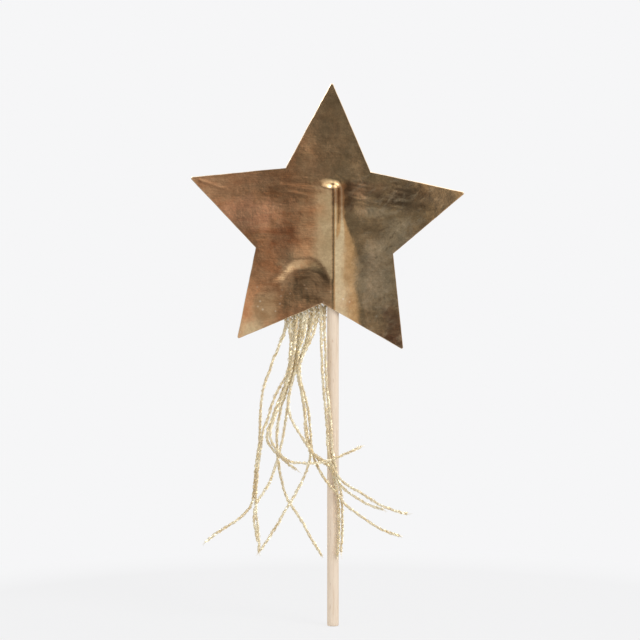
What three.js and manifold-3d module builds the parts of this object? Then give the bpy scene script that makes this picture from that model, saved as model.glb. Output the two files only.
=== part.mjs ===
// A cupcake topper: a foil star on a wooden stick, with a tassel of metallic threads.
// Two star cards are glued face to face over the stick. Six threads, folded in half, are held between
// them, and their twelve loose lengths hang out below the star's lower left edge.
// Millimetres, +Z up, and the front faces -Y. The origin is the centre of the stick's blunt foot.

import * as THREE from 'three';
import { mergeVertices } from 'three/addons/utils/BufferGeometryUtils.js';
import Module from 'manifold-3d';

const wasm = await Module();
wasm.setup();

// Stick
const STICK_LENGTH = 90;
const STICK_DIAMETER = 2.4;
const STICK_CHAMFER = 0.25;
const STICK_SIDES = 32;

// Star outline. Seen from the front it is turned a little clockwise, and its centre is left of the stick.
const STAR_TIP_RADIUS = 29.4;
const STAR_NOTCH_RADIUS = 14.7;
const STAR_BOTTOM_NOTCH_RADIUS = 15.2;
const STAR_TURN_CLOCKWISE = 2.6;
const STAR_CENTRE_LEFT = 1.55;
const STAR_CENTRE_BELOW_STICK_TOP = 8.64;

// The arms are a little uneven. Each one's length as a share of the tip radius, how many degrees its tip
// is turned clockwise, and how far its tip is bent forward, in order clockwise from the top arm.
const ARMS = [
  { reach: 1.014, turn: 0, bend: -0.5 },
  { reach: 1.002, turn: 1.1, bend: -0.8 },
  { reach: 1, turn: 0.7, bend: 0.6 },
  { reach: 0.983, turn: 0, bend: -0.5 },
  { reach: 1.005, turn: 0, bend: -0.8 },
];

// The arms bend out of the star's plane from this radius on
const BEND_START_RADIUS = 16;

// Cards and the film that joins them
const CARD_THICKNESS = 0.35;
const FILM_THICKNESS = 0.2;
const FILM_EDGE_INSET = 0.8;
const GLUE_GAP = 0.03;

// The card is pressed over the stick like a tent, whose foot lies this far beyond the stick's side. The
// spread goes on growing below the bottom notch, up to this share of the way down to it. The flanks sag:
// this much steeper than straight ones at the crest, and as much flatter at the foot.
const STICK_CLEARANCE = 0.12;
const TENT_SPREAD_TOP = 0.7;
const TENT_SPREAD_BOTTOM_LEFT = 7.5;
const TENT_SPREAD_BOTTOM_RIGHT = 4.3;
const TENT_END_RUN = 2.5;
const TENT_LAST_SPREAD = 1.3;
const TENT_SAG = 0.35;

// Threads. Each is folded in half, and the folds nest in two layers, every second one further back.
const FOLD_COUNT = 6;
const THREAD_DIAMETER = 0.55;
const THREAD_SIDES = 8;
const THREAD_STEP = 1.65;
const LAYER_OFFSET = 0.32;
const FOLD_OUTER_RADIUS = 3.5;
const FOLD_RADIUS_STEP = 0.4;
const FOLD_STICK_GAP = 0.13;
const FOLD_RISE = 5.2;
const FOLD_END_GAP = 0.75;
const FOLD_ARC_STEPS = 8;

// Mouth of the pocket that the threads come out of, on the edge left of the bottom notch
const MOUTH_FROM_NOTCH = 3.9;
const MOUTH_DROP = 0.6;
const SLOT_SPACING = 0.768;
const POCKET_CLEARANCE = 0.2;
const POCKET_SLOPE = 2.8;
const NEST_ARC_STEPS = 16;

// Spacing of the points that the cards are drawn through
const FINE_STEP = 0.6;
const MIDDLE_STEP = 1.6;
const WIDE_STEP = 3.3;

// The loose lengths, from the mouth to the free end, in order from the left
const STRAND_ROUTES = {
  strand_01: [
    [-9.5, 0.32, 62.4], [-9.7, 0.32, 61.1], [-10.2, 0.32, 59.4], [-10.8, 0.3, 58],
    [-11.4, 0.3, 56.4], [-12.2, 0.28, 54.6], [-12.8, 0.26, 52.7], [-13.5, 0.25, 50.9],
    [-14.2, 0.25, 48.8], [-14.6, 0.25, 46.4], [-14.8, 0.25, 43.8], [-14.9, 0.25, 41.1],
    [-15, 0.25, 38.3], [-15.4, 0.25, 35.2], [-15.8, 0.25, 32.1], [-16, 0.25, 29.1],
    [-16.3, 0.25, 26.4], [-17, 0.1, 24.3], [-18.7, -0.1, 22.5], [-21.2, -0.3, 20.7],
    [-23.7, -0.4, 19.1], [-26.1, -0.5, 17.3],
  ],
  strand_02: [
    [-8.8, -0.32, 62.7], [-8.7, -0.33, 60.7], [-8.6, -0.35, 58.4], [-8.7, -0.38, 56.2],
    [-8.9, -0.4, 53.9], [-9.5, -0.4, 51.6], [-10.7, -0.4, 49.4], [-11.9, -0.4, 47],
    [-12.7, -0.4, 44.6], [-13.4, -0.4, 42.3], [-14.3, -0.4, 40.1], [-14.6, -0.4, 37.6],
    [-15, -0.4, 34.8], [-15.4, -0.4, 31.9], [-15.6, -0.4, 29.1], [-15.8, -0.4, 26.2],
    [-15.7, -0.4, 23.4], [-15.4, -0.4, 20.3], [-15.1, -0.4, 17.7], [-15.2, -0.4, 15.2],
  ],
  strand_03: [
    [-8, 0.32, 63], [-8, 0, 60.9], [-8, -0.6, 58.6], [-8.1, -0.92, 56.4],
    [-8.5, -1.05, 54.1], [-9, -1.05, 51.9], [-9.7, -1.05, 49.7], [-10.7, -1.05, 47.2],
    [-11.7, -1.05, 44.7], [-12.5, -1.1, 42.3], [-13.3, -1.3, 40.1], [-13.4, -1.55, 38.3],
    [-12.5, -1.7, 36.7], [-11.4, -1.7, 35.5], [-10.1, -1.7, 34.3], [-8.8, -1.7, 33.2],
    [-7.5, -1.7, 32.3],
  ],
  strand_04: [
    [-7.4, -0.32, 63.4], [-7.5, -0.7, 61.1], [-7.7, -1.25, 58.8], [-7.9, -1.58, 56.6],
    [-8.3, -1.7, 54.3], [-8.7, -1.7, 52.1], [-9.4, -1.7, 49.9], [-10.2, -1.7, 47.4],
    [-11.2, -1.75, 44.8], [-12.1, -1.95, 42.3], [-12.8, -2.2, 40.1], [-12.6, -2.35, 38.3],
    [-11.5, -2.35, 36.4], [-10.1, -2.4, 34.8], [-8.4, -2.6, 33.9], [-6.5, -3, 33.8],
    [-4.7, -3.4, 33.7], [-2.9, -3.6, 33.9], [-1, -3.6, 34.2], [0.8, -3.5, 34.9],
    [2.4, -3.2, 35.6], [4.1, -2.9, 36.3], [5.7, -2.6, 37],
  ],
  strand_05: [
    [-6.6, 0.32, 63.6], [-6.8, 0.2, 61.3], [-7.1, 0, 59], [-7.4, -0.25, 56.8],
    [-7.7, -0.4, 54.6], [-8.1, -0.4, 52.3], [-8.9, -0.4, 50.1], [-9.7, -0.4, 47.6],
    [-10.5, -0.4, 45], [-11.1, -0.4, 42.3], [-11.4, -0.4, 39.5], [-11.4, -0.4, 36.6],
    [-11.2, -0.4, 33.8], [-10.7, -0.4, 30.9], [-10, -0.4, 28.1], [-9.1, -0.4, 25.6],
    [-7.7, -0.4, 23.6], [-6.4, -0.4, 21.6], [-5.2, -0.4, 19.3], [-3.8, -0.4, 16.9],
    [-2.2, -0.4, 14.4],
  ],
  strand_06: [
    [-5.9, -0.32, 63.9], [-6.2, -0.5, 61.5], [-6.6, -0.7, 59.2], [-6.9, -0.9, 57],
    [-7.4, -1.05, 54.8], [-7.9, -1.05, 52.3], [-8.6, -1.05, 49.9], [-9, -1.05, 47.2],
    [-9.3, -1.05, 44.6], [-9.7, -1.05, 41.9], [-10.1, -1.05, 39.5], [-10.6, -1.05, 37],
    [-11.3, -1.05, 34.4], [-12.1, -1.05, 31.9], [-12.9, -1.05, 29.7], [-14.1, -1.05, 27.7],
    [-15.3, -1.05, 25.9], [-16, -1.05, 23.8], [-16.1, -1.05, 21.3], [-15.7, -1.05, 19.3],
    [-15.4, -1.05, 17.5],
  ],
  strand_07: [
    [-5.2, -0.32, 64.2], [-5.6, -0.75, 61.7], [-6.1, -1.2, 59.2], [-6.7, -1.55, 57],
    [-7.2, -1.7, 54.8], [-7.7, -1.7, 52.3], [-8.4, -1.7, 49.9], [-9, -1.75, 47.4],
    [-9.1, -1.95, 45], [-8.5, -2.3, 42.7], [-7.4, -2.7, 40.7], [-6.2, -2.95, 38.8],
    [-5.1, -2.95, 37], [-3.8, -2.95, 35.5], [-2.1, -2.95, 34.4], [-0.5, -2.95, 33.6],
    [0.5, -2.95, 31.9], [1.7, -2.8, 30.2], [3.4, -2.7, 28.9], [5.3, -2.6, 27.8],
    [7.5, -2.5, 26.4], [9.8, -2.4, 25], [12.2, -2.3, 24.1], [15.1, -2.2, 23.2],
  ],
  strand_08: [
    [-4.5, 0.32, 64.5], [-4.8, 0.05, 61.9], [-5.3, -0.35, 59.4], [-6, -0.75, 57],
    [-6.7, -1, 54.8], [-7.2, -1, 52.3], [-6.9, -1, 49.9], [-6.3, -1, 47.4],
    [-5.9, -1, 44.8], [-5.6, -1, 42.1], [-5.3, -1, 39.5], [-4.8, -1, 37],
    [-4.7, -1, 34.8], [-5.2, -1, 32.6], [-6.1, -1.05, 30.3], [-7.3, -1.05, 27.9],
    [-8.8, -1.05, 25.4], [-10.2, -1.05, 23], [-11.8, -1.05, 20.3], [-13.3, -1.05, 17.9],
    [-14.8, -1.05, 15.6],
  ],
  strand_09: [
    [-3.8, -0.32, 64.8], [-4.2, -0.6, 62.3], [-4.8, -1, 59.8], [-5.5, -1.4, 57.4],
    [-6.4, -1.65, 55], [-6.8, -1.65, 52.5], [-6.5, -1.65, 50.1], [-5.8, -1.65, 47.6],
    [-5.2, -1.65, 45.2], [-4.8, -1.65, 42.5], [-4.6, -1.65, 39.9], [-4.4, -1.65, 37.2],
    [-3.9, -1.65, 34.8], [-3, -1.75, 32.6], [-1.7, -2, 30.4], [-0.3, -2.25, 28.6],
    [1.1, -2.3, 27.1], [2.3, -2.3, 25.4], [4.1, -2.2, 23.9], [6.1, -2.1, 22.5],
    [8.4, -2, 20.9], [10.9, -1.9, 19.6], [13.6, -1.8, 18.7],
  ],
  strand_10: [
    [-3.1, 0.32, 65.1], [-3.3, -0.35, 62.7], [-3.9, -1.15, 60.3], [-5, -1.9, 57.8],
    [-6.2, -2.3, 55.4], [-7, -2.3, 52.9], [-6.8, -2.3, 50.5], [-6.3, -2.3, 48],
    [-5.9, -2.3, 45.6], [-5.7, -2.3, 42.9], [-5.6, -2.3, 40.3], [-5.2, -2.3, 37.8],
    [-4.3, -2.3, 36], [-2.9, -2.3, 34.3], [-1.2, -2.3, 33.3], [-0.1, -2.3, 31.7],
    [1, -2.3, 29.8], [2.6, -2.25, 28.1], [4.7, -2.2, 26.6], [7.1, -2.1, 25.2],
    [10.2, -2, 24.1],
  ],
  strand_11: [
    [-2.4, -0.32, 65.4], [-2.4, -0.7, 62.9], [-2.4, -1.1, 60.5], [-2.4, -1.4, 58],
    [-2.3, -1.6, 55.6], [-2.2, -1.65, 53.1], [-2.1, -1.65, 50.7], [-1.9, -1.65, 48.2],
    [-1.6, -1.65, 45.6], [-1.4, -1.65, 42.9], [-1.2, -1.65, 40.3], [-1.1, -1.65, 37.6],
    [-0.8, -1.65, 35.2], [-0.4, -1.65, 32.8], [0.2, -1.65, 30.3], [0.7, -1.65, 27.9],
    [1.1, -1.65, 25.4], [1.2, -1.65, 22.8], [1.2, -1.65, 19.9], [1.1, -1.65, 17.1],
    [0.9, -1.65, 14.4],
  ],
  strand_12: [
    [-1.7, 0.32, 65.7], [-1.7, -0.2, 63.3], [-1.7, -0.8, 60.9], [-1.6, -1.3, 58.4],
    [-1.5, -1.6, 56], [-1.5, -1.65, 53.3], [-1.4, -1.65, 50.9], [-1.2, -1.65, 48.4],
    [-0.9, -1.65, 45.8], [-0.6, -1.65, 43.1], [-0.4, -1.65, 40.5], [-0.3, -1.65, 37.8],
    [-0.1, -1.65, 35.4], [0.4, -1.65, 33], [0.9, -1.65, 30.5], [1.5, -1.65, 28.1],
    [1.8, -1.65, 25.6], [1.9, -1.65, 23], [1.9, -1.65, 20.3], [1.8, -1.65, 17.7],
    [1.6, -1.65, 15.4],
  ],
};

const COLOURS = {
  foil: { color: 0x9c7a52, roughness: 0.22, metalness: 1 },
  film: { color: 0xd9d2c4, roughness: 0.6, metalness: 0 },
  wood: { color: 0xe3cdb4, roughness: 0.75, metalness: 0 },
  thread: { color: 0xd6c08c, roughness: 0.35, metalness: 0.8 },
};

const stickRadius = STICK_DIAMETER / 2;
const threadRadius = THREAD_DIAMETER / 2;
const { lerp, smoothstep, clamp, degToRad } = THREE.MathUtils;

// Star outline, as points of the XZ plane in order clockwise from the top tip
const starCentre = new THREE.Vector2(-STAR_CENTRE_LEFT, STICK_LENGTH - STAR_CENTRE_BELOW_STICK_TOP);

function starDirection(step, turn) {
  const angle = degToRad(step * 180 / ARMS.length + STAR_TURN_CLOCKWISE + turn);
  return new THREE.Vector2(Math.sin(angle), Math.cos(angle));
}

function starOutline() {
  const lowestNotch = ARMS.length;
  return ARMS.flatMap((arm, i) => {
    const step = 2 * i;
    const notchRadius = step + 1 === lowestNotch ? STAR_BOTTOM_NOTCH_RADIUS : STAR_NOTCH_RADIUS;
    return [
      starDirection(step, arm.turn).multiplyScalar(STAR_TIP_RADIUS * arm.reach).add(starCentre),
      starDirection(step + 1, 0).multiplyScalar(notchRadius).add(starCentre),
    ];
  });
}

const outline = starOutline();
const bottomNotch = outline[ARMS.length];
const lowerLeftTip = outline[ARMS.length + 1];
const starReach = STAR_TIP_RADIUS * Math.max(...ARMS.map((arm) => arm.reach));

// The mouth: a line just below the lower left edge, with one slot for each loose length
const edgeLeft = lowerLeftTip.clone().sub(bottomNotch).normalize();
const edgeDown = new THREE.Vector2(-edgeLeft.y, edgeLeft.x);
const mouthCentre = bottomNotch.clone()
  .addScaledVector(edgeLeft, MOUTH_FROM_NOTCH)
  .addScaledVector(edgeDown, MOUTH_DROP);

function slot(index) {
  const fromCentre = (FOLD_COUNT - 0.5 - index) * SLOT_SPACING;
  return mouthCentre.clone().addScaledVector(edgeLeft, fromCentre);
}

// The nest of folds ends beside the stick
const foldCentre = new THREE.Vector2(
  -(stickRadius + FOLD_STICK_GAP + threadRadius + FOLD_OUTER_RADIUS),
  mouthCentre.y + FOLD_RISE,
);
const nestRadius = FOLD_OUTER_RADIUS + threadRadius;
const nestHalfMouth = (FOLD_COUNT - 0.5) * SLOT_SPACING + threadRadius + POCKET_CLEARANCE;

// Height of the card's inner face above the star's plane, over the stick
const tentRadius = stickRadius + STICK_CLEARANCE;

function tentLift(x, z) {
  const down = clamp((STICK_LENGTH - z) / (STICK_LENGTH - bottomNotch.y), 0, TENT_LAST_SPREAD);
  const spread = lerp(TENT_SPREAD_TOP, x < 0 ? TENT_SPREAD_BOTTOM_LEFT : TENT_SPREAD_BOTTOM_RIGHT, down);
  const foot = tentRadius + spread;
  // Each flank leaves the arc over the stick at touch, where both have the same slope
  const room = Math.sqrt(foot ** 2 + 4 * TENT_SAG * (1 + TENT_SAG) * tentRadius ** 2);
  const touch = (room - foot) / (2 * TENT_SAG);
  const across = Math.abs(x);
  const arc = Math.sqrt(tentRadius ** 2 - Math.min(across, touch) ** 2);
  const share = clamp((across - touch) / (foot - touch), 0, 1);
  const side = arc * (1 - share) * (1 - TENT_SAG * share);
  const end = tentRadius * (1 - (z - STICK_LENGTH) / TENT_END_RUN);
  return Math.min(side, end);
}

// Height of the inner face over the folded threads
function pocketLift(x, z) {
  const down = (foldCentre.y - z) / (foldCentre.y - mouthCentre.y);
  const outside = down < 0
    ? Math.hypot(x - foldCentre.x, z - foldCentre.y) - nestRadius
    : Math.abs(x - lerp(foldCentre.x, mouthCentre.x, down)) - lerp(nestRadius, nestHalfMouth, down);
  const full = LAYER_OFFSET + threadRadius + STICK_CLEARANCE;
  return full * (1 - smoothstep(outside, 0, POCKET_SLOPE));
}

// How far the star's plane itself is bent towards -Y
function armBend(x, z) {
  const fromCentre = new THREE.Vector2(x, z).sub(starCentre);
  return ARMS.reduce((bend, arm, i) => {
    const beyond = fromCentre.dot(starDirection(2 * i, arm.turn)) - BEND_START_RADIUS;
    return bend + arm.bend * (Math.max(0, beyond) / (STAR_TIP_RADIUS - BEND_START_RADIUS)) ** 2;
  }, 0);
}

const filmHalf = FILM_THICKNESS / 2;
const flatLift = filmHalf + GLUE_GAP;

function innerLift(x, z) {
  return Math.max(flatLift, tentLift(x, z), pocketLift(x, z));
}

// Rising grid lines. Each stop is where a stretch starts and the spacing in it, and the last is the end.
function gridLines(stops, end) {
  const lines = [];
  stops.forEach(([from, step], i) => {
    const to = i + 1 < stops.length ? stops[i + 1][0] : end;
    const count = Math.max(1, Math.round((to - from) / step));
    for (let k = 0; k < count; k++) lines.push(lerp(from, to, k / count));
  });
  return [...lines, end];
}

const tentFootRight = tentRadius + TENT_SPREAD_BOTTOM_RIGHT;
const pocketLeft = mouthCentre.x - nestHalfMouth - POCKET_SLOPE;
const pocketTop = foldCentre.y + nestRadius + POCKET_SLOPE;
const gridX = gridLines([
  [starCentre.x - starReach, WIDE_STEP],
  [pocketLeft, MIDDLE_STEP],
  [-2 * stickRadius, FINE_STEP],
  [2 * stickRadius, MIDDLE_STEP],
  [tentFootRight, WIDE_STEP],
], starCentre.x + starReach);
const gridZ = gridLines([
  [starCentre.y - starReach, WIDE_STEP],
  [mouthCentre.y - POCKET_SLOPE, MIDDLE_STEP],
  [pocketTop, WIDE_STEP],
  [STICK_LENGTH - tentRadius, FINE_STEP],
  [STICK_LENGTH + TENT_END_RUN, WIDE_STEP],
], starCentre.y + starReach);

// A closed geometry with only positions becomes a solid that can be joined and cut
function solidOf(geometry) {
  const bare = geometry.clone();
  bare.deleteAttribute('normal');
  bare.deleteAttribute('uv');
  const merged = mergeVertices(bare, 1e-4);
  return new wasm.Manifold(new wasm.Mesh({
    numProp: 3,
    vertProperties: new Float32Array(merged.attributes.position.array),
    triVerts: new Uint32Array(merged.index.array),
  }));
}

function geometryOf(solid) {
  const mesh = solid.getMesh();
  const geometry = new THREE.BufferGeometry();
  geometry.setAttribute('position', new THREE.BufferAttribute(mesh.vertProperties, 3));
  geometry.setIndex(new THREE.BufferAttribute(mesh.triVerts, 1));
  geometry.computeVertexNormals();
  return geometry;
}

// The layer between two surfaces, each given as a function of x and z that returns y
function layerBetween(frontY, backY) {
  const columns = gridX.length;
  const rows = gridZ.length;
  const positions = [];
  for (const surface of [frontY, backY]) {
    for (const z of gridZ) {
      for (const x of gridX) positions.push(x, surface(x, z), z);
    }
  }
  const faces = [];
  const corner = (face, row, column) => (face * rows + row) * columns + column;
  const quad = (a, b, c, d) => faces.push(a, b, c, a, c, d);
  for (let r = 0; r + 1 < rows; r++) {
    for (let c = 0; c + 1 < columns; c++) {
      quad(corner(0, r, c), corner(0, r, c + 1), corner(0, r + 1, c + 1), corner(0, r + 1, c));
      faces.push(corner(1, r, c), corner(1, r + 1, c + 1), corner(1, r, c + 1));
      faces.push(corner(1, r, c), corner(1, r + 1, c), corner(1, r + 1, c + 1));
    }
  }
  for (let c = 0; c + 1 < columns; c++) {
    quad(corner(0, 0, c + 1), corner(0, 0, c), corner(1, 0, c), corner(1, 0, c + 1));
    const top = rows - 1;
    quad(corner(0, top, c), corner(0, top, c + 1), corner(1, top, c + 1), corner(1, top, c));
  }
  for (let r = 0; r + 1 < rows; r++) {
    quad(corner(0, r, 0), corner(0, r + 1, 0), corner(1, r + 1, 0), corner(1, r, 0));
    const right = columns - 1;
    quad(corner(0, r + 1, right), corner(0, r, right), corner(1, r, right), corner(1, r + 1, right));
  }
  const geometry = new THREE.BufferGeometry();
  geometry.setAttribute('position', new THREE.Float32BufferAttribute(positions, 3));
  geometry.setIndex(faces);
  return solidOf(geometry);
}

// A flat outline in the XZ plane, made deep enough to cut through both cards
const deepestBend = Math.max(...ARMS.map((arm) => Math.abs(arm.bend)));
const cutDepth = 4 * (tentRadius + CARD_THICKNESS + deepestBend);

function prism(points) {
  const geometry = new THREE.ExtrudeGeometry(new THREE.Shape(points), {
    depth: cutDepth,
    bevelEnabled: false,
  });
  geometry.rotateX(Math.PI / 2);
  geometry.translate(0, cutDepth / 2, 0);
  return solidOf(geometry);
}

// The star drawn in by the same distance all round
function insetOutline(inset) {
  const [tip, notch] = outline;
  const edge = notch.clone().sub(tip);
  const edgeDistance = Math.abs(edge.cross(starCentre.clone().sub(tip))) / edge.length();
  const share = 1 - inset / edgeDistance;
  return outline.map((corner) => corner.clone().sub(starCentre).multiplyScalar(share).add(starCentre));
}

function card(side) {
  const inner = (x, z) => side * innerLift(x, z) - armBend(x, z);
  const outer = (x, z) => inner(x, z) + side * CARD_THICKNESS;
  const layer = side < 0 ? layerBetween(outer, inner) : layerBetween(inner, outer);
  return geometryOf(layer.intersect(prism(outline)));
}

function film() {
  const layer = layerBetween(
    (x, z) => -filmHalf - armBend(x, z),
    (x, z) => filmHalf - armBend(x, z),
  );
  const slotHalf = stickRadius + POCKET_CLEARANCE;
  const slotTop = STICK_LENGTH + POCKET_CLEARANCE;
  const stickSlot = prism([
    new THREE.Vector2(-slotHalf, lowerLeftTip.y),
    new THREE.Vector2(slotHalf, lowerLeftTip.y),
    new THREE.Vector2(slotHalf, slotTop),
    new THREE.Vector2(-slotHalf, slotTop),
  ]);
  const starred = layer.intersect(prism(insetOutline(FILM_EDGE_INSET)));
  return geometryOf(starred.subtract(stickSlot).subtract(prism(nestOutline())));
}

// Points of a half circle above the folds' centre, from right to left
function foldArc(radius, steps) {
  return Array.from({ length: steps + 1 }, (_, i) => {
    const angle = Math.PI * i / steps;
    return new THREE.Vector2(Math.cos(angle), Math.sin(angle)).multiplyScalar(radius).add(foldCentre);
  });
}

// The room that the folds take in the film: a round top, and sides that run on below the mouth
function nestOutline() {
  const besideMouth = (side, drop) => mouthCentre.clone()
    .addScaledVector(edgeDown, drop)
    .addScaledVector(edgeLeft, side * nestHalfMouth);
  return [
    ...foldArc(nestRadius + POCKET_CLEARANCE, NEST_ARC_STEPS),
    besideMouth(1, -FOLD_END_GAP),
    besideMouth(1, MOUTH_DROP),
    besideMouth(-1, MOUTH_DROP),
  ];
}

function tube(points) {
  const curve = new THREE.CatmullRomCurve3(points);
  const section = new THREE.Shape();
  for (let i = 0; i < THREAD_SIDES; i++) {
    const angle = 2 * Math.PI * i / THREAD_SIDES;
    const x = threadRadius * Math.cos(angle);
    const y = threadRadius * Math.sin(angle);
    if (i) section.lineTo(x, y);
    else section.moveTo(x, y);
  }
  const steps = Math.round(curve.getLength() / THREAD_STEP);
  return new THREE.ExtrudeGeometry(section, { steps, bevelEnabled: false, extrudePath: curve });
}

// One thread's hidden middle: up from its left slot, over in a half circle and down to its right slot
function foldRoute(index) {
  const y = index % 2 ? -LAYER_OFFSET : LAYER_OFFSET;
  const radius = FOLD_OUTER_RADIUS - index * FOLD_RADIUS_STEP;
  const inside = (position) => position.addScaledVector(edgeDown, -FOLD_END_GAP);
  const leftSlot = slot(index);
  const rightSlot = slot(2 * FOLD_COUNT - 1 - index);
  const arc = foldArc(radius, FOLD_ARC_STEPS).reverse();
  return [inside(leftSlot), ...arc, inside(rightSlot)].map((p) => new THREE.Vector3(p.x, y, p.y));
}

function stick() {
  const profile = [
    new THREE.Vector2(0, 0),
    new THREE.Vector2(stickRadius - STICK_CHAMFER, 0),
    new THREE.Vector2(stickRadius, STICK_CHAMFER),
    new THREE.Vector2(stickRadius, STICK_LENGTH - STICK_CHAMFER),
    new THREE.Vector2(stickRadius - STICK_CHAMFER, STICK_LENGTH),
    new THREE.Vector2(0, STICK_LENGTH),
  ];
  return new THREE.LatheGeometry(profile, STICK_SIDES).rotateX(Math.PI / 2);
}

function piece(name, geometry, colours) {
  const mesh = new THREE.Mesh(geometry, new THREE.MeshStandardMaterial(colours));
  mesh.name = name;
  return mesh;
}

const star = new THREE.Group();
star.add(piece('front_star', card(-1), COLOURS.foil));
star.add(piece('back_star', card(1), COLOURS.foil));
star.add(piece('adhesive_sheet', film(), COLOURS.film));

const tassel = new THREE.Group();
for (let i = 0; i < FOLD_COUNT; i++) {
  tassel.add(piece(`fold_${i + 1}`, tube(foldRoute(i)), COLOURS.thread));
}
for (const [name, route] of Object.entries(STRAND_ROUTES)) {
  tassel.add(piece(name, tube(route.map((p) => new THREE.Vector3(...p))), COLOURS.thread));
}

const topper = new THREE.Group();
topper.add(piece('stick', stick(), COLOURS.wood), star, tassel);

export default topper;
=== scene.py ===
"""A cupcake topper: a foil star on a wooden stick, with a tassel of metallic threads.

Metres, +Z up, and the front faces -Y. The stick stands on the origin.
"""

import math
import random

import bmesh
import bpy
import numpy as np
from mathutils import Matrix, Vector, geometry, noise


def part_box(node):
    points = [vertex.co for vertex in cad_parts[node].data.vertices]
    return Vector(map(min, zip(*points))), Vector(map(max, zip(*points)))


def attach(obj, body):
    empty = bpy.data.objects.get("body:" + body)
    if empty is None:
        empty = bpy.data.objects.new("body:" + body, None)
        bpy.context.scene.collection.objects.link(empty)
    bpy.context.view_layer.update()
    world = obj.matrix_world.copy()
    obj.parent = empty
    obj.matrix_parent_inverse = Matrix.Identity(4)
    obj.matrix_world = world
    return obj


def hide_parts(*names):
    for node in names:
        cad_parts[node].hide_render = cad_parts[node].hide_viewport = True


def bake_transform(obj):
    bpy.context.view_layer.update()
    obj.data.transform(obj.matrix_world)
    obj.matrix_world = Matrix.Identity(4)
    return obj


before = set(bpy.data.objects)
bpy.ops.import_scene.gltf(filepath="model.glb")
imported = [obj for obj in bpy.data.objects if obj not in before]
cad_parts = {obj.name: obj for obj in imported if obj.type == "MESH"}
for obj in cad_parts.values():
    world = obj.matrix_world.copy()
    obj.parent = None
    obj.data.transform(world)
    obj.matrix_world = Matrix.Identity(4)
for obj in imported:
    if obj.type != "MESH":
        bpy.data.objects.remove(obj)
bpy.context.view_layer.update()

MM = 0.001

# How far apart the places of the noise field lie that different seeds read
CLOUD_SEED_STEP = 37.0
KINK_SEED_STEP = 50.0
STRIP_SEED_STEP = 80.0
# Each octave of the clouds is finer by this factor, and lower by this power of it
OCTAVE_FINER = 2.0
OCTAVE_LOWER_POWER = 1.0

# Photograph: the point of the topper in its middle, and how much it shows across at that distance
PHOTO_CENTRE = Vector((-2.65 * MM, 0, 62.7 * MM))
PHOTO_ACROSS = 130.4 * MM
CAMERA_DISTANCE = 0.6
CAMERA_ELEVATION = math.radians(3)

# Stick, from the frame
STICK_RADIUS, _, STICK_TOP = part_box("stick")[1]

# Star outline, clockwise from the top tip
STAR_TIP_RADIUS = 29.4 * MM
STAR_NOTCH_RADIUS = 14.7 * MM
STAR_BOTTOM_NOTCH_RADIUS = 15.2 * MM
STAR_TURN = math.radians(2.6)
STAR_CENTRE = np.array((-1.55 * MM, STICK_TOP - 8.64 * MM))

# Arms: each one's share of the tip radius, its clockwise turn, and its tip's bend to the front
ARMS = [
    (1.014, 0.0, -0.5 * MM),
    (1.002, math.radians(1.1), -0.8 * MM),
    (1.0, math.radians(0.7), 0.6 * MM),
    (0.983, 0.0, -0.5 * MM),
    (1.005, 0.0, -0.8 * MM),
]
BEND_START_RADIUS = 16 * MM
# The arm that the bottom notch follows
ARM_BEFORE_BOTTOM = 2

# Cards
CARD_THICKNESS = 0.35 * MM
FILM_THICKNESS = 0.2 * MM
GLUE_GAP = 0.03 * MM

# Tent of card over the stick. Its spread is how far each flank's foot lies from the arc over the stick.
TENT_RADIUS = STICK_RADIUS + 0.12 * MM
TENT_SPREAD_TOP = 0.9 * MM
TENT_SPREAD_TOP_LEFT = 3.8 * MM
TENT_SPREAD_BOTTOM_LEFT = 10 * MM
TENT_SPREAD_BOTTOM_RIGHT = 6.4 * MM
TENT_NARROWING_RIGHT = 2.6 * MM
TENT_LAST_SPREAD = 1.3
TENT_SAG = 0.8

# Threads and the pocket that holds them
THREAD_DIAMETER = 0.55 * MM
FOLD_COUNT = 6
LAYER_OFFSET = 0.32 * MM
FOLD_OUTER_RADIUS = 3.5 * MM
FOLD_RADIUS_STEP = 0.4 * MM
FOLD_STICK_GAP = 0.13 * MM
FOLD_RISE = 5.2 * MM
FOLD_END_GAP = 0.75 * MM
MOUTH_FROM_NOTCH = 3.9 * MM
MOUTH_DROP = 0.6 * MM
SLOT_SPACING = 0.768 * MM
POCKET_CLEARANCE = 0.2 * MM
POCKET_SLOPE = 2.8 * MM

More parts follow.
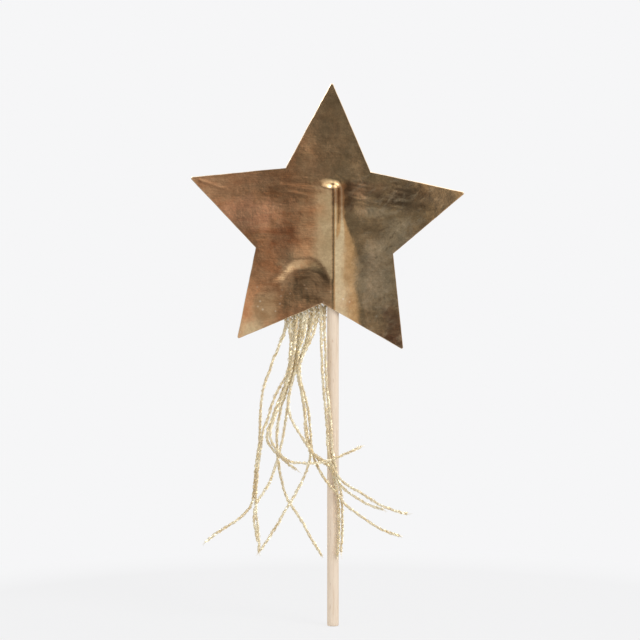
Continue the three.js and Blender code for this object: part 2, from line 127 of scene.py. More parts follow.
# Loose lengths: the length of each, and its route from the mouth to the free end, in order from the left
STRANDS = {
    "strand_01": (0.0506, [
        (-0.0095, 0.00032, 0.0624), (-0.0097, 0.00032, 0.0611), (-0.0102, 0.00032, 0.0594),
        (-0.0108, 0.0003, 0.058), (-0.0114, 0.0003, 0.0564), (-0.0122, 0.00028, 0.0546),
        (-0.0128, 0.00026, 0.0527), (-0.0135, 0.00025, 0.0509), (-0.0142, 0.00025, 0.0488),
        (-0.0146, 0.00025, 0.0464), (-0.0148, 0.00025, 0.0438), (-0.0149, 0.00025, 0.0411),
        (-0.015, 0.00025, 0.0383), (-0.0154, 0.00025, 0.0352), (-0.0158, 0.00025, 0.0321),
        (-0.016, 0.00025, 0.0291), (-0.0163, 0.00025, 0.0264), (-0.017, 0.0001, 0.0243),
        (-0.0187, -0.0001, 0.0225), (-0.0212, -0.0003, 0.0207), (-0.0237, -0.0004, 0.0191),
        (-0.0261, -0.0005, 0.0173),
    ]),
    "strand_02": (0.0487, [
        (-0.0088, -0.00032, 0.0627), (-0.0087, -0.00033, 0.0607), (-0.0086, -0.00035, 0.0584),
        (-0.0087, -0.00038, 0.0562), (-0.0089, -0.0004, 0.0539), (-0.0095, -0.0004, 0.0516),
        (-0.0107, -0.0004, 0.0494), (-0.0119, -0.0004, 0.047), (-0.0127, -0.0004, 0.0446),
        (-0.0134, -0.0004, 0.0423), (-0.0143, -0.0004, 0.0401), (-0.0146, -0.0004, 0.0376),
        (-0.015, -0.0004, 0.0348), (-0.0154, -0.0004, 0.0319), (-0.0156, -0.0004, 0.0291),
        (-0.0158, -0.0004, 0.0262), (-0.0157, -0.0004, 0.0234), (-0.0154, -0.0004, 0.0203),
        (-0.0151, -0.0004, 0.0177), (-0.0152, -0.0004, 0.0152),
    ]),
    "strand_03": (0.0341, [
        (-0.008, 0.00032, 0.063), (-0.008, 0, 0.0609), (-0.008, -0.0006, 0.0586),
        (-0.0081, -0.00092, 0.0564), (-0.0085, -0.00105, 0.0541), (-0.009, -0.00105, 0.0519),
        (-0.0097, -0.00105, 0.0497), (-0.0107, -0.00105, 0.0472), (-0.0117, -0.00105, 0.0447),
        (-0.0125, -0.0011, 0.0423), (-0.0133, -0.0013, 0.0401), (-0.0134, -0.00155, 0.0383),
        (-0.0125, -0.0017, 0.0367), (-0.0114, -0.0017, 0.0355), (-0.0101, -0.0017, 0.0343),
        (-0.0088, -0.0017, 0.0332), (-0.0075, -0.0017, 0.0323),
    ]),
    "strand_04": (0.0470, [
        (-0.0074, -0.00032, 0.0634), (-0.0075, -0.0007, 0.0611), (-0.0077, -0.00125, 0.0588),
        (-0.0079, -0.00158, 0.0566), (-0.0083, -0.0017, 0.0543), (-0.0087, -0.0017, 0.0521),
        (-0.0094, -0.0017, 0.0499), (-0.0102, -0.0017, 0.0474), (-0.0112, -0.00175, 0.0448),
        (-0.0121, -0.00195, 0.0423), (-0.0128, -0.0022, 0.0401), (-0.0126, -0.00235, 0.0383),
        (-0.0115, -0.00235, 0.0364), (-0.0101, -0.0024, 0.0348), (-0.0084, -0.0026, 0.0339),
        (-0.0065, -0.003, 0.0338), (-0.0047, -0.0034, 0.0337), (-0.0029, -0.0036, 0.0339),
        (-0.001, -0.0036, 0.0342), (0.0008, -0.0035, 0.0349), (0.0024, -0.0032, 0.0356),
        (0.0041, -0.0029, 0.0363), (0.0057, -0.0026, 0.037),
    ]),
    "strand_05": (0.0520, [
        (-0.0066, 0.00032, 0.0636), (-0.0068, 0.0002, 0.0613), (-0.0071, 0, 0.059),
        (-0.0074, -0.00025, 0.0568), (-0.0077, -0.0004, 0.0546), (-0.0081, -0.0004, 0.0523),
        (-0.0089, -0.0004, 0.0501), (-0.0097, -0.0004, 0.0476), (-0.0105, -0.0004, 0.045),
        (-0.0111, -0.0004, 0.0423), (-0.0114, -0.0004, 0.0395), (-0.0114, -0.0004, 0.0366),
        (-0.0112, -0.0004, 0.0338), (-0.0107, -0.0004, 0.0309), (-0.01, -0.0004, 0.0281),
        (-0.0091, -0.0004, 0.0256), (-0.0077, -0.0004, 0.0236), (-0.0064, -0.0004, 0.0216),
        (-0.0052, -0.0004, 0.0193), (-0.0038, -0.0004, 0.0169), (-0.0022, -0.0004, 0.0144),
    ]),
    "strand_06": (0.0481, [
        (-0.0059, -0.00032, 0.0639), (-0.0062, -0.0005, 0.0615), (-0.0066, -0.0007, 0.0592),
        (-0.0069, -0.0009, 0.057), (-0.0074, -0.00105, 0.0548), (-0.0079, -0.00105, 0.0523),
        (-0.0086, -0.00105, 0.0499), (-0.009, -0.00105, 0.0472), (-0.0093, -0.00105, 0.0446),
        (-0.0097, -0.00105, 0.0419), (-0.0101, -0.00105, 0.0395), (-0.0106, -0.00105, 0.037),
        (-0.0113, -0.00105, 0.0344), (-0.0121, -0.00105, 0.0319), (-0.0129, -0.00105, 0.0297),
        (-0.0141, -0.00105, 0.0277), (-0.0153, -0.00105, 0.0259), (-0.016, -0.00105, 0.0238),
        (-0.0161, -0.00105, 0.0213), (-0.0157, -0.00105, 0.0193), (-0.0154, -0.00105, 0.0175),
    ]),
    "strand_07": (0.0538, [
        (-0.0052, -0.00032, 0.0642), (-0.0056, -0.00075, 0.0617), (-0.0061, -0.0012, 0.0592),
        (-0.0067, -0.00155, 0.057), (-0.0072, -0.0017, 0.0548), (-0.0077, -0.0017, 0.0523),
        (-0.0084, -0.0017, 0.0499), (-0.009, -0.00175, 0.0474), (-0.0091, -0.00195, 0.045),
        (-0.0085, -0.0023, 0.0427), (-0.0074, -0.0027, 0.0407), (-0.0062, -0.00295, 0.0388),
        (-0.0051, -0.00295, 0.037), (-0.0038, -0.00295, 0.0355), (-0.0021, -0.00295, 0.0344),
        (-0.0005, -0.00295, 0.0336), (0.0005, -0.00295, 0.0319), (0.0017, -0.0028, 0.0302),
        (0.0034, -0.0027, 0.0289), (0.0053, -0.0026, 0.0278), (0.0075, -0.0025, 0.0264),
        (0.0098, -0.0024, 0.025), (0.0122, -0.0023, 0.0241), (0.0151, -0.0022, 0.0232),
    ]),
    "strand_08": (0.0521, [
        (-0.0045, 0.00032, 0.0645), (-0.0048, 0.00005, 0.0619), (-0.0053, -0.00035, 0.0594),
        (-0.006, -0.00075, 0.057), (-0.0067, -0.001, 0.0548), (-0.0072, -0.001, 0.0523),
        (-0.0069, -0.001, 0.0499), (-0.0063, -0.001, 0.0474), (-0.0059, -0.001, 0.0448),
        (-0.0056, -0.001, 0.0421), (-0.0053, -0.001, 0.0395), (-0.0048, -0.001, 0.037),
        (-0.0047, -0.001, 0.0348), (-0.0052, -0.001, 0.0326), (-0.0061, -0.00105, 0.0303),
        (-0.0073, -0.00105, 0.0279), (-0.0088, -0.00105, 0.0254), (-0.0102, -0.00105, 0.023),
        (-0.0118, -0.00105, 0.0203), (-0.0133, -0.00105, 0.0179), (-0.0148, -0.00105, 0.0156),
    ]),
    "strand_09": (0.0554, [
        (-0.0038, -0.00032, 0.0648), (-0.0042, -0.0006, 0.0623), (-0.0048, -0.001, 0.0598),
        (-0.0055, -0.0014, 0.0574), (-0.0064, -0.00165, 0.055), (-0.0068, -0.00165, 0.0525),
        (-0.0065, -0.00165, 0.0501), (-0.0058, -0.00165, 0.0476), (-0.0052, -0.00165, 0.0452),
        (-0.0048, -0.00165, 0.0425), (-0.0046, -0.00165, 0.0399), (-0.0044, -0.00165, 0.0372),
        (-0.0039, -0.00165, 0.0348), (-0.003, -0.00175, 0.0326), (-0.0017, -0.002, 0.0304),
        (-0.0003, -0.00225, 0.0286), (0.0011, -0.0023, 0.0271), (0.0023, -0.0023, 0.0254),
        (0.0041, -0.0022, 0.0239), (0.0061, -0.0021, 0.0225), (0.0084, -0.002, 0.0209),
        (0.0109, -0.0019, 0.0196), (0.0136, -0.0018, 0.0187),
    ]),
    "strand_10": (0.0496, [
        (-0.0031, 0.00032, 0.0651), (-0.0033, -0.00035, 0.0627), (-0.0039, -0.00115, 0.0603),
        (-0.005, -0.0019, 0.0578), (-0.0062, -0.0023, 0.0554), (-0.007, -0.0023, 0.0529),
        (-0.0068, -0.0023, 0.0505), (-0.0063, -0.0023, 0.048), (-0.0059, -0.0023, 0.0456),
        (-0.0057, -0.0023, 0.0429), (-0.0056, -0.0023, 0.0403), (-0.0052, -0.0023, 0.0378),
        (-0.0043, -0.0023, 0.036), (-0.0029, -0.0023, 0.0343), (-0.0012, -0.0023, 0.0333),
        (-0.0001, -0.0023, 0.0317), (0.001, -0.0023, 0.0298), (0.0026, -0.00225, 0.0281),
        (0.0047, -0.0022, 0.0266), (0.0071, -0.0021, 0.0252), (0.0102, -0.002, 0.0241),
    ]),
    "strand_11": (0.0513, [
        (-0.0024, -0.00032, 0.0654), (-0.0024, -0.0007, 0.0629), (-0.0024, -0.0011, 0.0605),
        (-0.0024, -0.0014, 0.058), (-0.0023, -0.0016, 0.0556), (-0.0022, -0.00165, 0.0531),
        (-0.0021, -0.00165, 0.0507), (-0.0019, -0.00165, 0.0482), (-0.0016, -0.00165, 0.0456),
        (-0.0014, -0.00165, 0.0429), (-0.0012, -0.00165, 0.0403), (-0.0011, -0.00165, 0.0376),
        (-0.0008, -0.00165, 0.0352), (-0.0004, -0.00165, 0.0328), (0.0002, -0.00165, 0.0303),
        (0.0007, -0.00165, 0.0279), (0.0011, -0.00165, 0.0254), (0.0012, -0.00165, 0.0228),
        (0.0012, -0.00165, 0.0199), (0.0011, -0.00165, 0.0171), (0.0009, -0.00165, 0.0144),
    ]),
    "strand_12": (0.0508, [
        (-0.0017, 0.00032, 0.0657), (-0.0017, -0.0002, 0.0633), (-0.0017, -0.0008, 0.0609),
        (-0.0016, -0.0013, 0.0584), (-0.0015, -0.0016, 0.056), (-0.0015, -0.00165, 0.0533),
        (-0.0014, -0.00165, 0.0509), (-0.0012, -0.00165, 0.0484), (-0.0009, -0.00165, 0.0458),
        (-0.0006, -0.00165, 0.0431), (-0.0004, -0.00165, 0.0405), (-0.0003, -0.00165, 0.0378),
        (-0.0001, -0.00165, 0.0354), (0.0004, -0.00165, 0.033), (0.0009, -0.00165, 0.0305),
        (0.0015, -0.00165, 0.0281), (0.0018, -0.00165, 0.0256), (0.0019, -0.00165, 0.023),
        (0.0019, -0.00165, 0.0203), (0.0018, -0.00165, 0.0177), (0.0016, -0.00165, 0.0154),
    ]),
}


def mix(a, b, share):
    """The value that lies this share of the way from a to b."""
    return a + (b - a) * share


def smooth(value, low, high):
    """0 below low, 1 above high, and a smooth rise between."""
    share = np.clip((value - low) / (high - low), 0, 1)
    return share * share * (3 - 2 * share)


def smooth_max(a, b, reach):
    """The larger of two heights, with the crease between them rounded over that reach."""
    near = np.clip(1 - abs(a - b) / reach, 0, 1)
    return np.maximum(a, b) + near * near * reach / 4


def unit(vector):
    return vector / np.linalg.norm(vector)


def clouds(x, z, size, seed, octaves=3):
    """Smooth random heights from -1 to 1 over points of the star's plane, with features of that size."""
    layer = CLOUD_SEED_STEP * seed
    points = zip(np.ravel(x) / size, np.ravel(z) / size)
    values = [noise.fractal(Vector((u, layer, v)), OCTAVE_LOWER_POWER, OCTAVE_FINER, octaves)
              for u, v in points]
    return np.array(values).reshape(np.shape(x))


def turns(count):
    """That many angles, spread evenly round a circle."""
    return [2 * math.pi * k / count for k in range(count)]


# Star, as points (x, z) of its plane

def star_direction(step, turn=0.0):
    angle = step * math.pi / 5 + STAR_TURN + turn
    return np.array((math.sin(angle), math.cos(angle)))


corners = []
for arm, (reach, turn, tip_bend) in enumerate(ARMS):
    notch_radius = STAR_BOTTOM_NOTCH_RADIUS if arm == ARM_BEFORE_BOTTOM else STAR_NOTCH_RADIUS
    corners.append(STAR_CENTRE + star_direction(2 * arm, turn) * STAR_TIP_RADIUS * reach)
    corners.append(STAR_CENTRE + star_direction(2 * arm + 1) * notch_radius)
bottom_notch = corners[2 * ARM_BEFORE_BOTTOM + 1]
lower_left_tip = corners[2 * ARM_BEFORE_BOTTOM + 2]

# Mouth of the pocket: a line just below the lower left edge
edge_left = unit(lower_left_tip - bottom_notch)
edge_down = np.array((-edge_left[1], edge_left[0]))
mouth_centre = bottom_notch + MOUTH_FROM_NOTCH * edge_left + MOUTH_DROP * edge_down

thread_radius = THREAD_DIAMETER / 2
fold_centre = np.array((
    -(STICK_RADIUS + FOLD_STICK_GAP + thread_radius + FOLD_OUTER_RADIUS),
    mouth_centre[1] + FOLD_RISE,
))
nest_radius = FOLD_OUTER_RADIUS + thread_radius
nest_half_mouth = (FOLD_COUNT - 0.5) * SLOT_SPACING + thread_radius + POCKET_CLEARANCE


def in_plane(point, y):
    """The point of space that lies at (x, z) in the star's plane and y behind it."""
    return np.array((point[0], y, point[1]))


def slot(index):
    """Where the thread with that number, counted from the left, crosses the mouth."""
    return mouth_centre + edge_left * (FOLD_COUNT - 0.5 - index) * SLOT_SPACING


# Heights of the card above the star's plane. Each is the inner face's, for arrays of x and z.

CREASE_ROUNDING = 1.2 * MM
FOOT_ROUNDING = 0.75 * MM
CREST_FLAT = 0.1 * MM
DOME_CENTRE = STICK_TOP - 0.75 * MM
POCKET_EASING = -0.4 * MM
POCKET_TILT = 0.035
POCKET_SWELL = 0.1 * MM
POCKET_WIDENING = 4.5 * MM
POCKET_LEFT_FULLNESS = 0.6 * MM
# Shares of the way down, between which the right flank opens out and narrows again
RIGHT_OPENS = (0.22, 0.68)
RIGHT_NARROWS = (0.72, 1.05)
# Sines of the angle below the folds' middle, and to its left, between which these set in
WIDENING_SETS_IN = (-0.55, 0.4)
FULLNESS_SETS_IN = (0.1, 0.8)
WAVE_SIZE = 13 * MM
WAVE_HEIGHT = 0.16 * MM
WAVES_FROM_STICK = (2 * STICK_RADIUS, 6 * STICK_RADIUS)
WAVES_FROM_POCKET = (0, 4 * MM)


def tent_lift(x, z):
    """The tent over the stick. Its left flank is wide from the top, its right one opens out lower down."""
    down = np.clip((STICK_TOP - z) / (STICK_TOP - bottom_notch[1]), 0, TENT_LAST_SPREAD)
    above = np.maximum(0, z - DOME_CENTRE)
    round_dome = np.arctan2(abs(x), above) / (math.pi / 2)
    top_left = mix(TENT_SPREAD_TOP, TENT_SPREAD_TOP_LEFT, smooth(round_dome, 0, 1))
    left = mix(top_left, TENT_SPREAD_BOTTOM_LEFT, down)
    right = mix(TENT_SPREAD_TOP, TENT_SPREAD_BOTTOM_RIGHT, smooth(down, *RIGHT_OPENS))
    right = right - TENT_NARROWING_RIGHT * smooth(down, *RIGHT_NARROWS)
    foot = TENT_RADIUS + np.where(x < 0, left, right)
    # Each flank leaves the arc over the stick at touch, and flattens towards its foot
    touch = (np.sqrt(foot ** 2 + 4 * TENT_SAG * (1 + TENT_SAG) * TENT_RADIUS ** 2) - foot) / (2 * TENT_SAG)
    # Above the stick's end the same profile runs round in a dome
    across = np.hypot(x, above)
    arc = np.sqrt(TENT_RADIUS ** 2 - np.maximum(0, np.minimum(across, touch) - CREST_FLAT) ** 2)
    share = np.maximum(0, (across - touch) / (foot - touch))
    return arc * np.where(share < 1, (1 - share) * (1 - TENT_SAG * share), (1 - TENT_SAG) * (1 - share))


def pocket_distance(x, z):
    """How far a point lies outside the folded threads, negative inside them."""
    down = (fold_centre[1] - z) / (fold_centre[1] - mouth_centre[1])
    above = np.hypot(x - fold_centre[0], z - fold_centre[1]) - nest_radius
    middle = mix(fold_centre[0], mouth_centre[0], down)
    beside = abs(x - middle) - mix(nest_radius, nest_half_mouth, down)
    return np.where(down < 0, above, beside)


def pocket_share(x, z):
    """1 over the folded threads, falling to 0 round them: steep above, and gentle at the side."""
    from_middle = np.hypot(x - fold_centre[0], z - fold_centre[1])
    slope = POCKET_SLOPE + POCKET_WIDENING * smooth((fold_centre[1] - z) / from_middle, *WIDENING_SETS_IN)
    fuller = POCKET_LEFT_FULLNESS * smooth((fold_centre[0] - x) / from_middle, *FULLNESS_SETS_IN)
    return 1 - smooth(pocket_distance(x, z) - fuller, POCKET_EASING, slope)


def inner_lift(x, z):
    """The tent and the pocket together, or the film's height where neither lifts the card."""
    flat = FILM_THICKNESS / 2 + GLUE_GAP
    full = LAYER_OFFSET + thread_radius + TENT_RADIUS - STICK_RADIUS + POCKET_SWELL
    full = full + POCKET_TILT * np.maximum(0, fold_centre[1] + nest_radius - z)
    share = pocket_share(x, z)
    return smooth_max(tent_lift(x, z), mix(flat, full, share), mix(FOOT_ROUNDING, CREASE_ROUNDING, share))


def arm_bend(x, z):
    """How far the arms bend the star's plane towards -Y."""
    bend = np.zeros(np.shape(x))
    for arm, (reach, turn, tip_bend) in enumerate(ARMS):
        direction = star_direction(2 * arm, turn)
        out = (x - STAR_CENTRE[0]) * direction[0] + (z - STAR_CENTRE[1]) * direction[1]
        beyond = np.maximum(0, out - BEND_START_RADIUS) / (STAR_TIP_RADIUS - BEND_START_RADIUS)
        bend += tip_bend * beyond ** 2
    return bend


def plane_bend(x, z):
    """The arms' bends, with slight waves away from the stick and the threads."""
    free = smooth(abs(x), *WAVES_FROM_STICK) * smooth(pocket_distance(x, z), *WAVES_FROM_POCKET)
    return arm_bend(x, z) + WAVE_HEIGHT * free * clouds(x, z, WAVE_SIZE, seed=1, octaves=2)


# Shallow marks pressed into a card's outer face

CRUMPLE_SIZE = 3.2 * MM
CRUMPLE_HEIGHT = 0.014 * MM
STREAK_LENGTH = 8 * MM
STREAK_WIDTH = 1.1 * MM
STREAK_HEIGHT = 0.05 * MM
STREAK_SHARES = (0.5, 1.2)
STREAK_FALL = 0.12
STREAKS_START = (STICK_RADIUS, 3 * STICK_RADIUS)
STREAKS_END = (10 * MM, 22 * MM)
STREAK_BAND_TOP = (-3 * MM, -1.5 * MM)
STREAK_BAND_FOOT = (1 * MM, 5 * MM)
RIB_LENGTH = 4 * MM
RIB_WIDTH = 0.9 * MM
RIB_HEIGHT = 0.012 * MM
RIB_FADE = (-1.2 * MM, 0.4 * MM)
DENT_SIZE = 1.6 * MM
DENT_HEIGHT = 0.05 * MM
DENT_FADE = (STICK_RADIUS, 4 * STICK_RADIUS)
CREASE_START = np.array((-27 * MM, 91.1 * MM))
CREASE_END = np.array((-20.5 * MM, 88.9 * MM))
CREASE_WIDTH = 0.45 * MM
CREASE_HEIGHT = 0.03 * MM


def streaks(x, z):
    """Streaks where the card is drawn tight sideways from the stick's top, stronger on the right."""
    below_top = STICK_TOP - z - STREAK_FALL * abs(x)
    reach = smooth(abs(x), *STREAKS_START) * (1 - smooth(abs(x), *STREAKS_END))
    band = smooth(below_top, *STREAK_BAND_TOP) * (1 - smooth(below_top, *STREAK_BAND_FOOT))
    lines = clouds(x / STREAK_LENGTH, (z + STREAK_FALL * x) / STREAK_WIDTH, 1, seed=3, octaves=3)
    return STREAK_HEIGHT * np.where(x < 0, *STREAK_SHARES) * reach * band * lines


def ribs(x, z):
    """Ribs that run round the pocket, where the folded threads show through."""
    inside = 1 - smooth(pocket_distance(x, z), *RIB_FADE)
    across, rise = x - fold_centre[0], z - fold_centre[1]
    from_fold = np.hypot(across, np.maximum(0, rise))
    along_fold = FOLD_OUTER_RADIUS * np.arctan2(across, np.maximum(0, rise)) + np.minimum(0, rise)
    return RIB_HEIGHT * inside * clouds(along_fold / RIB_LENGTH, from_fold / RIB_WIDTH, 1, seed=4, octaves=2)


def dents(x, z):
    """Dents where the card is pressed round the stick's end."""
    pressed = 1 - smooth(np.hypot(x, z - STICK_TOP), *DENT_FADE)
    return DENT_HEIGHT * pressed * clouds(x, z, DENT_SIZE, seed=6, octaves=2)


def crease(x, z):
    """A crease near the left arm's tip, which runs out to nothing at its end."""
    run = CREASE_END - CREASE_START
    share = np.clip(((x - CREASE_START[0]) * run[0] + (z - CREASE_START[1]) * run[1]) / (run @ run), 0, 1)
    off = np.hypot(x - CREASE_START[0] - share * run[0], z - CREASE_START[1] - share * run[1])
    return CREASE_HEIGHT * (1 - share) * (1 - smooth(off, 0, CREASE_WIDTH))


def relief(x, z):
    crumples = CRUMPLE_HEIGHT * clouds(x, z, CRUMPLE_SIZE, seed=2, octaves=4)
    return crumples + streaks(x, z) + ribs(x, z) + dents(x, z) + crease(x, z)


# Shader nodes

def tone(red, green, blue):
    """A colour given as it looks on screen, from 0 to 255, as the shaders' light values."""
    def light(value):
        share = value / 255
        return share / 12.92 if share <= 0.04045 else ((share + 0.055) / 1.055) ** 2.4
    return (light(red), light(green), light(blue), 1)


class Shader:
    """Adds nodes to a material's or world's tree. A value is a number, a colour or another node's socket."""

    def __init__(self, owner):
        owner.use_nodes = True
        self.owner = owner
        self.tree = owner.node_tree
        self.tree.nodes.clear()

    def add(self, kind, values=(), **settings):
        made = self.tree.nodes.new("ShaderNode" + kind)
        for name, value in settings.items():
            setattr(made, name, value)
        for key, value in dict(values).items():
            if isinstance(value, bpy.types.NodeSocket):
                self.tree.links.new(value, made.inputs[key])
            else:
                made.inputs[key].default_value = value
        return made

    def math(self, operation, a, b=0.0):
        return self.add("Math", {0: a, 1: b}, operation=operation).outputs[0]

    def times(self, a, b):
        return self.math("MULTIPLY", a, b)

    def plus(self, a, b):
        return self.math("ADD", a, b)

    def spread(self, value, low, high, to_low, to_high, **settings):
        """The value, with the range from low to high turned into the range from to_low to to_high."""
        spans = {"Value": value, 1: low, 2: high, 3: to_low, 4: to_high}
        return self.add("MapRange", spans, **settings).outputs[0]

    def rise(self, value, low, high):
        """0 below low, 1 above high, and smooth between; from 1 down to 0 where low is above high."""
        ends = (0.0, 1.0) if low < high else (1.0, 0.0)
        return self.spread(value, min(low, high), max(low, high), *ends, interpolation_type="SMOOTHSTEP")

    def blend(self, share, a, b, mode="MIX"):
        return self.add("Mix", {0: share, 6: a, 7: b}, data_type="RGBA", blend_type=mode).outputs[2]

    def grey(self, level):
        return self.add("CombineColor", {0: level, 1: level, 2: level}).outputs[0]

    def noise(self, where, scale, detail=2.0, roughness=0.5, distortion=0.0):
        """Smooth noise about 0.5. The scale is how many features a unit of length holds."""
        values = {"Vector": where, "Scale": scale, "Detail": detail, "Roughness": roughness,
                  "Distortion": distortion}
        return self.add("TexNoise", values).outputs[0]

    def object_place(self, stretch=(1, 1, 1)):
        where = self.add("TexCoord").outputs["Object"]
        if stretch == (1, 1, 1):
            return where
        return self.add("Mapping", {"Vector": where, "Scale": stretch}).outputs[0]

    def bump(self, height, depth):
        return self.add("Bump", {"Height": height, "Strength": 1.0, "Distance": depth}).outputs[0]

    def finish(self, shader, output="OutputMaterial"):
        """Ends the tree with that shader, and returns the material or world."""
        self.tree.links.new(shader.outputs[0], self.add(output).inputs[0])
        return self.owner

    def surface(self, **values):
        """Ends the tree with a principled shader that has those values."""
        named = {name.replace("_", " "): value for name, value in values.items()}
        return self.finish(self.add("BsdfPrincipled", named))


# Painted reflections of the foil: light and dark patches in place of the room seen in the wavy foil, with
# painted highlights and painted shade. Middle x and z, half width and half height in mm, strength, colour
PAINTED_REFLECTION_PATCHES = [
    (-4.5, 69.9, 3.9, 4.9, 0.8, (98, 82, 60)),
    (-1.9, 68.4, 2.1, 3.8, 0.55, (104, 84, 62)),
    (-8.5, 74.8, 3.4, 2.6, 0.6, (252, 228, 184)),
    (-9.4, 71.6, 1.6, 3.6, 0.6, (252, 220, 176)),
    (-10.2, 79.0, 3.6, 4.6, 0.65, (156, 96, 62)),
    (-8.2, 84.6, 2.6, 5.0, 0.5, (158, 104, 70)),
    (-6.4, 76.3, 2.4, 2.4, 0.5, (250, 208, 160)),
    (-9.0, 88.6, 9.0, 2.2, 0.35, (164, 120, 80)),
    (-17.2, 84.4, 7.6, 4.2, 0.8, (250, 194, 156)),
    (-17.0, 90.8, 6.5, 2.0, 0.4, (250, 206, 164)),
    (-23.5, 89.4, 6.0, 3.6, 0.6, (246, 200, 156)),
    (-0.5, 98.0, 5.0, 4.4, 0.4, (170, 138, 104)),
    (16.0, 87.5, 8.6, 3.0, 0.88, (102, 84, 68)),
    (22.6, 87.3, 4.4, 3.0, 0.6, (160, 152, 134)),
    (8.6, 71.4, 5.0, 8.0, 0.65, (244, 228, 196)),
    (8.8, 84.5, 3.6, 1.4, 0.75, (242, 226, 190)),
    (13.2, 82.4, 3.8, 1.4, 0.75, (242, 226, 190)),
    (9.4, 76.6, 3.4, 2.2, 0.7, (242, 226, 190)),
    (12.6, 78.6, 3.6, 3.6, 0.75, (250, 236, 202)),
    (12.8, 60.4, 3.4, 5.6, 0.8, (112, 64, 52)),
    (-19.0, 59.8, 5.4, 4.4, 0.6, (248, 236, 194)),
    (-13.5, 65.4, 3.8, 3.8, 0.7, (156, 126, 90)),
    (5.0, 89.4, 7.5, 1.8, 0.4, (160, 106, 84)),
    (2.2, 87.4, 2.6, 4.0, 0.9, (138, 106, 78)),
]
REFLECTION_PATCH_RAGGEDNESS = 1.6
REFLECTION_PATCH_FADE = (1.15, 0.45)
SCUFF_SLANT = math.radians(-28)
SCUFF_STRETCH = 2.2
SCUFF_STRENGTH = 0.48
SCUFFS_START = (1 * MM, 8 * MM)
PALE_SCUFFS = (0.5, 0.66)
DARK_SCUFFS = (0.46, 0.3)
COPPER = tone(216, 163, 119)
OLIVE = tone(204, 180, 140)
COPPER_TO_OLIVE = (-11 * MM, 1 * MM)
COPPER_DRIFT = 30 * MM


def painted_reflections(s, where, axes, colour):
    """Painted reflections: light and dark patches of the room seen in the foil, painted highlights and
    painted shade, with cloudy outlines.
    """
    clouding = s.math("SUBTRACT", s.noise(where, 420, detail=5, roughness=0.7), 0.5)
    ragged = s.times(clouding, REFLECTION_PATCH_RAGGEDNESS)
    for x, z, half_width, half_height, strength, reflection_colour in PAINTED_REFLECTION_PATCHES:
        across = s.times(s.math("SUBTRACT", axes[0], x * MM), 1 / (half_width * MM))
        up = s.times(s.math("SUBTRACT", axes[2], z * MM), 1 / (half_height * MM))
        reach = s.math("SQRT", s.plus(s.math("POWER", across, 2), s.math("POWER", up, 2)))
        share = s.rise(s.plus(reach, ragged), *REFLECTION_PATCH_FADE)
        colour = s.blend(s.times(share, strength), colour, tone(*reflection_colour))
    return colour


def scuffed(s, where, axes, colour):
    """Scuffs drawn out up to the right, on the right half."""
    values = {"Vector": where, "Rotation": (0, SCUFF_SLANT, 0), "Scale": (SCUFF_STRETCH, 1, 1)}
    slanted = s.add("Mapping", values, vector_type="TEXTURE").outputs[0]
    scuffs = s.noise(slanted, 900, detail=5, roughness=0.6, distortion=0.4)
    strength = s.times(s.rise(axes[0], *SCUFFS_START), SCUFF_STRENGTH)
    colour = s.blend(s.times(s.rise(scuffs, *PALE_SCUFFS), strength), colour, tone(240, 226, 196))
    return s.blend(s.times(s.rise(scuffs, *DARK_SCUFFS), strength), colour, tone(140, 118, 90))


def mottled(s, where, colour):
    """Fine mottling of the metal film."""
    clouding = s.noise(s.object_place((0.55, 1, 1.3)), 300, detail=5, roughness=0.65, distortion=0.6)
    colour = s.blend(s.times(s.rise(clouding, 0.35, 0.65), 0.32), colour, tone(248, 222, 180))
    fine = s.noise(where, 1300, detail=3, roughness=0.7)
    return s.blend(s.times(s.rise(fine, 0.3, 0.7), 0.24), colour, tone(128, 100, 72))


def worn(s, where, axes, colour):
    """Specks scratched through the film, mostly low on the star, and a cut edge worn to the card."""
    specks = s.add("TexVoronoi", {"Vector": where, "Scale": 620.0, "Randomness": 1.0}).outputs["Distance"]
    crowding = s.plus(s.noise(where, 160), s.rise(axes[2], 85 * MM, 62 * MM))
    bare = s.times(s.rise(specks, 0.17, 0.09), s.rise(crowding, 1.0, 1.5))
    colour = s.blend(s.times(bare, 0.4), colour, tone(250, 240, 220))
    edge = s.add("Attribute", attribute_name="edge_mm").outputs["Fac"]
    nibbled = s.plus(edge, s.times(s.noise(where, 2200), -0.25))
    return s.blend(s.rise(nibbled, 0.04, -0.06), colour, tone(232, 208, 176))


def foil_material():
    s = Shader(bpy.data.materials.new("mirror_foil"))
    where = s.object_place()
    axes = s.add("SeparateXYZ", {0: where}).outputs
    # Copper on the left and olive on the right, with a ragged change between them: painted reflections of
    # the room's warmer left and greyer right
    drift = s.math("SUBTRACT", s.noise(where, 110, detail=4, roughness=0.6), 0.5)
    sideways = s.plus(axes[0], s.times(drift, COPPER_DRIFT))
    colour = s.blend(s.rise(sideways, *COPPER_TO_OLIVE), COPPER, OLIVE)
    # Painted reflections: light and dark patches in place of the room seen in the foil
    colour = painted_reflections(s, where, axes, colour)
    colour = scuffed(s, where, axes, colour)
    colour = mottled(s, where, colour)
    colour = worn(s, where, axes, colour)
    roughness = s.spread(s.noise(where, 240, detail=4, roughness=0.7), 0.3, 0.7, 0.10, 0.23)
    # Crackle: fine cells under a millimetre across, and scratches
    cells = s.noise(where, 1100, detail=4, roughness=0.65)
    scratches = s.noise(s.object_place((0.6, 1, 9)), 520)
    crackle = s.bump(s.plus(cells, s.times(scratches, 0.35)), 0.02 * MM)
    return s.surface(Base_Color=colour, Metallic=1.0, Roughness=roughness, Normal=crackle)


def card_core_material():
    s = Shader(bpy.data.materials.new("card_core"))
    fibres = s.noise(s.object_place((1, 1, 3)), 1800, detail=4, roughness=0.7)
    colour = s.blend(fibres, tone(206, 184, 150), tone(238, 226, 204))
    return s.surface(Base_Color=colour, Roughness=0.85, Normal=s.bump(fibres, 0.03 * MM))


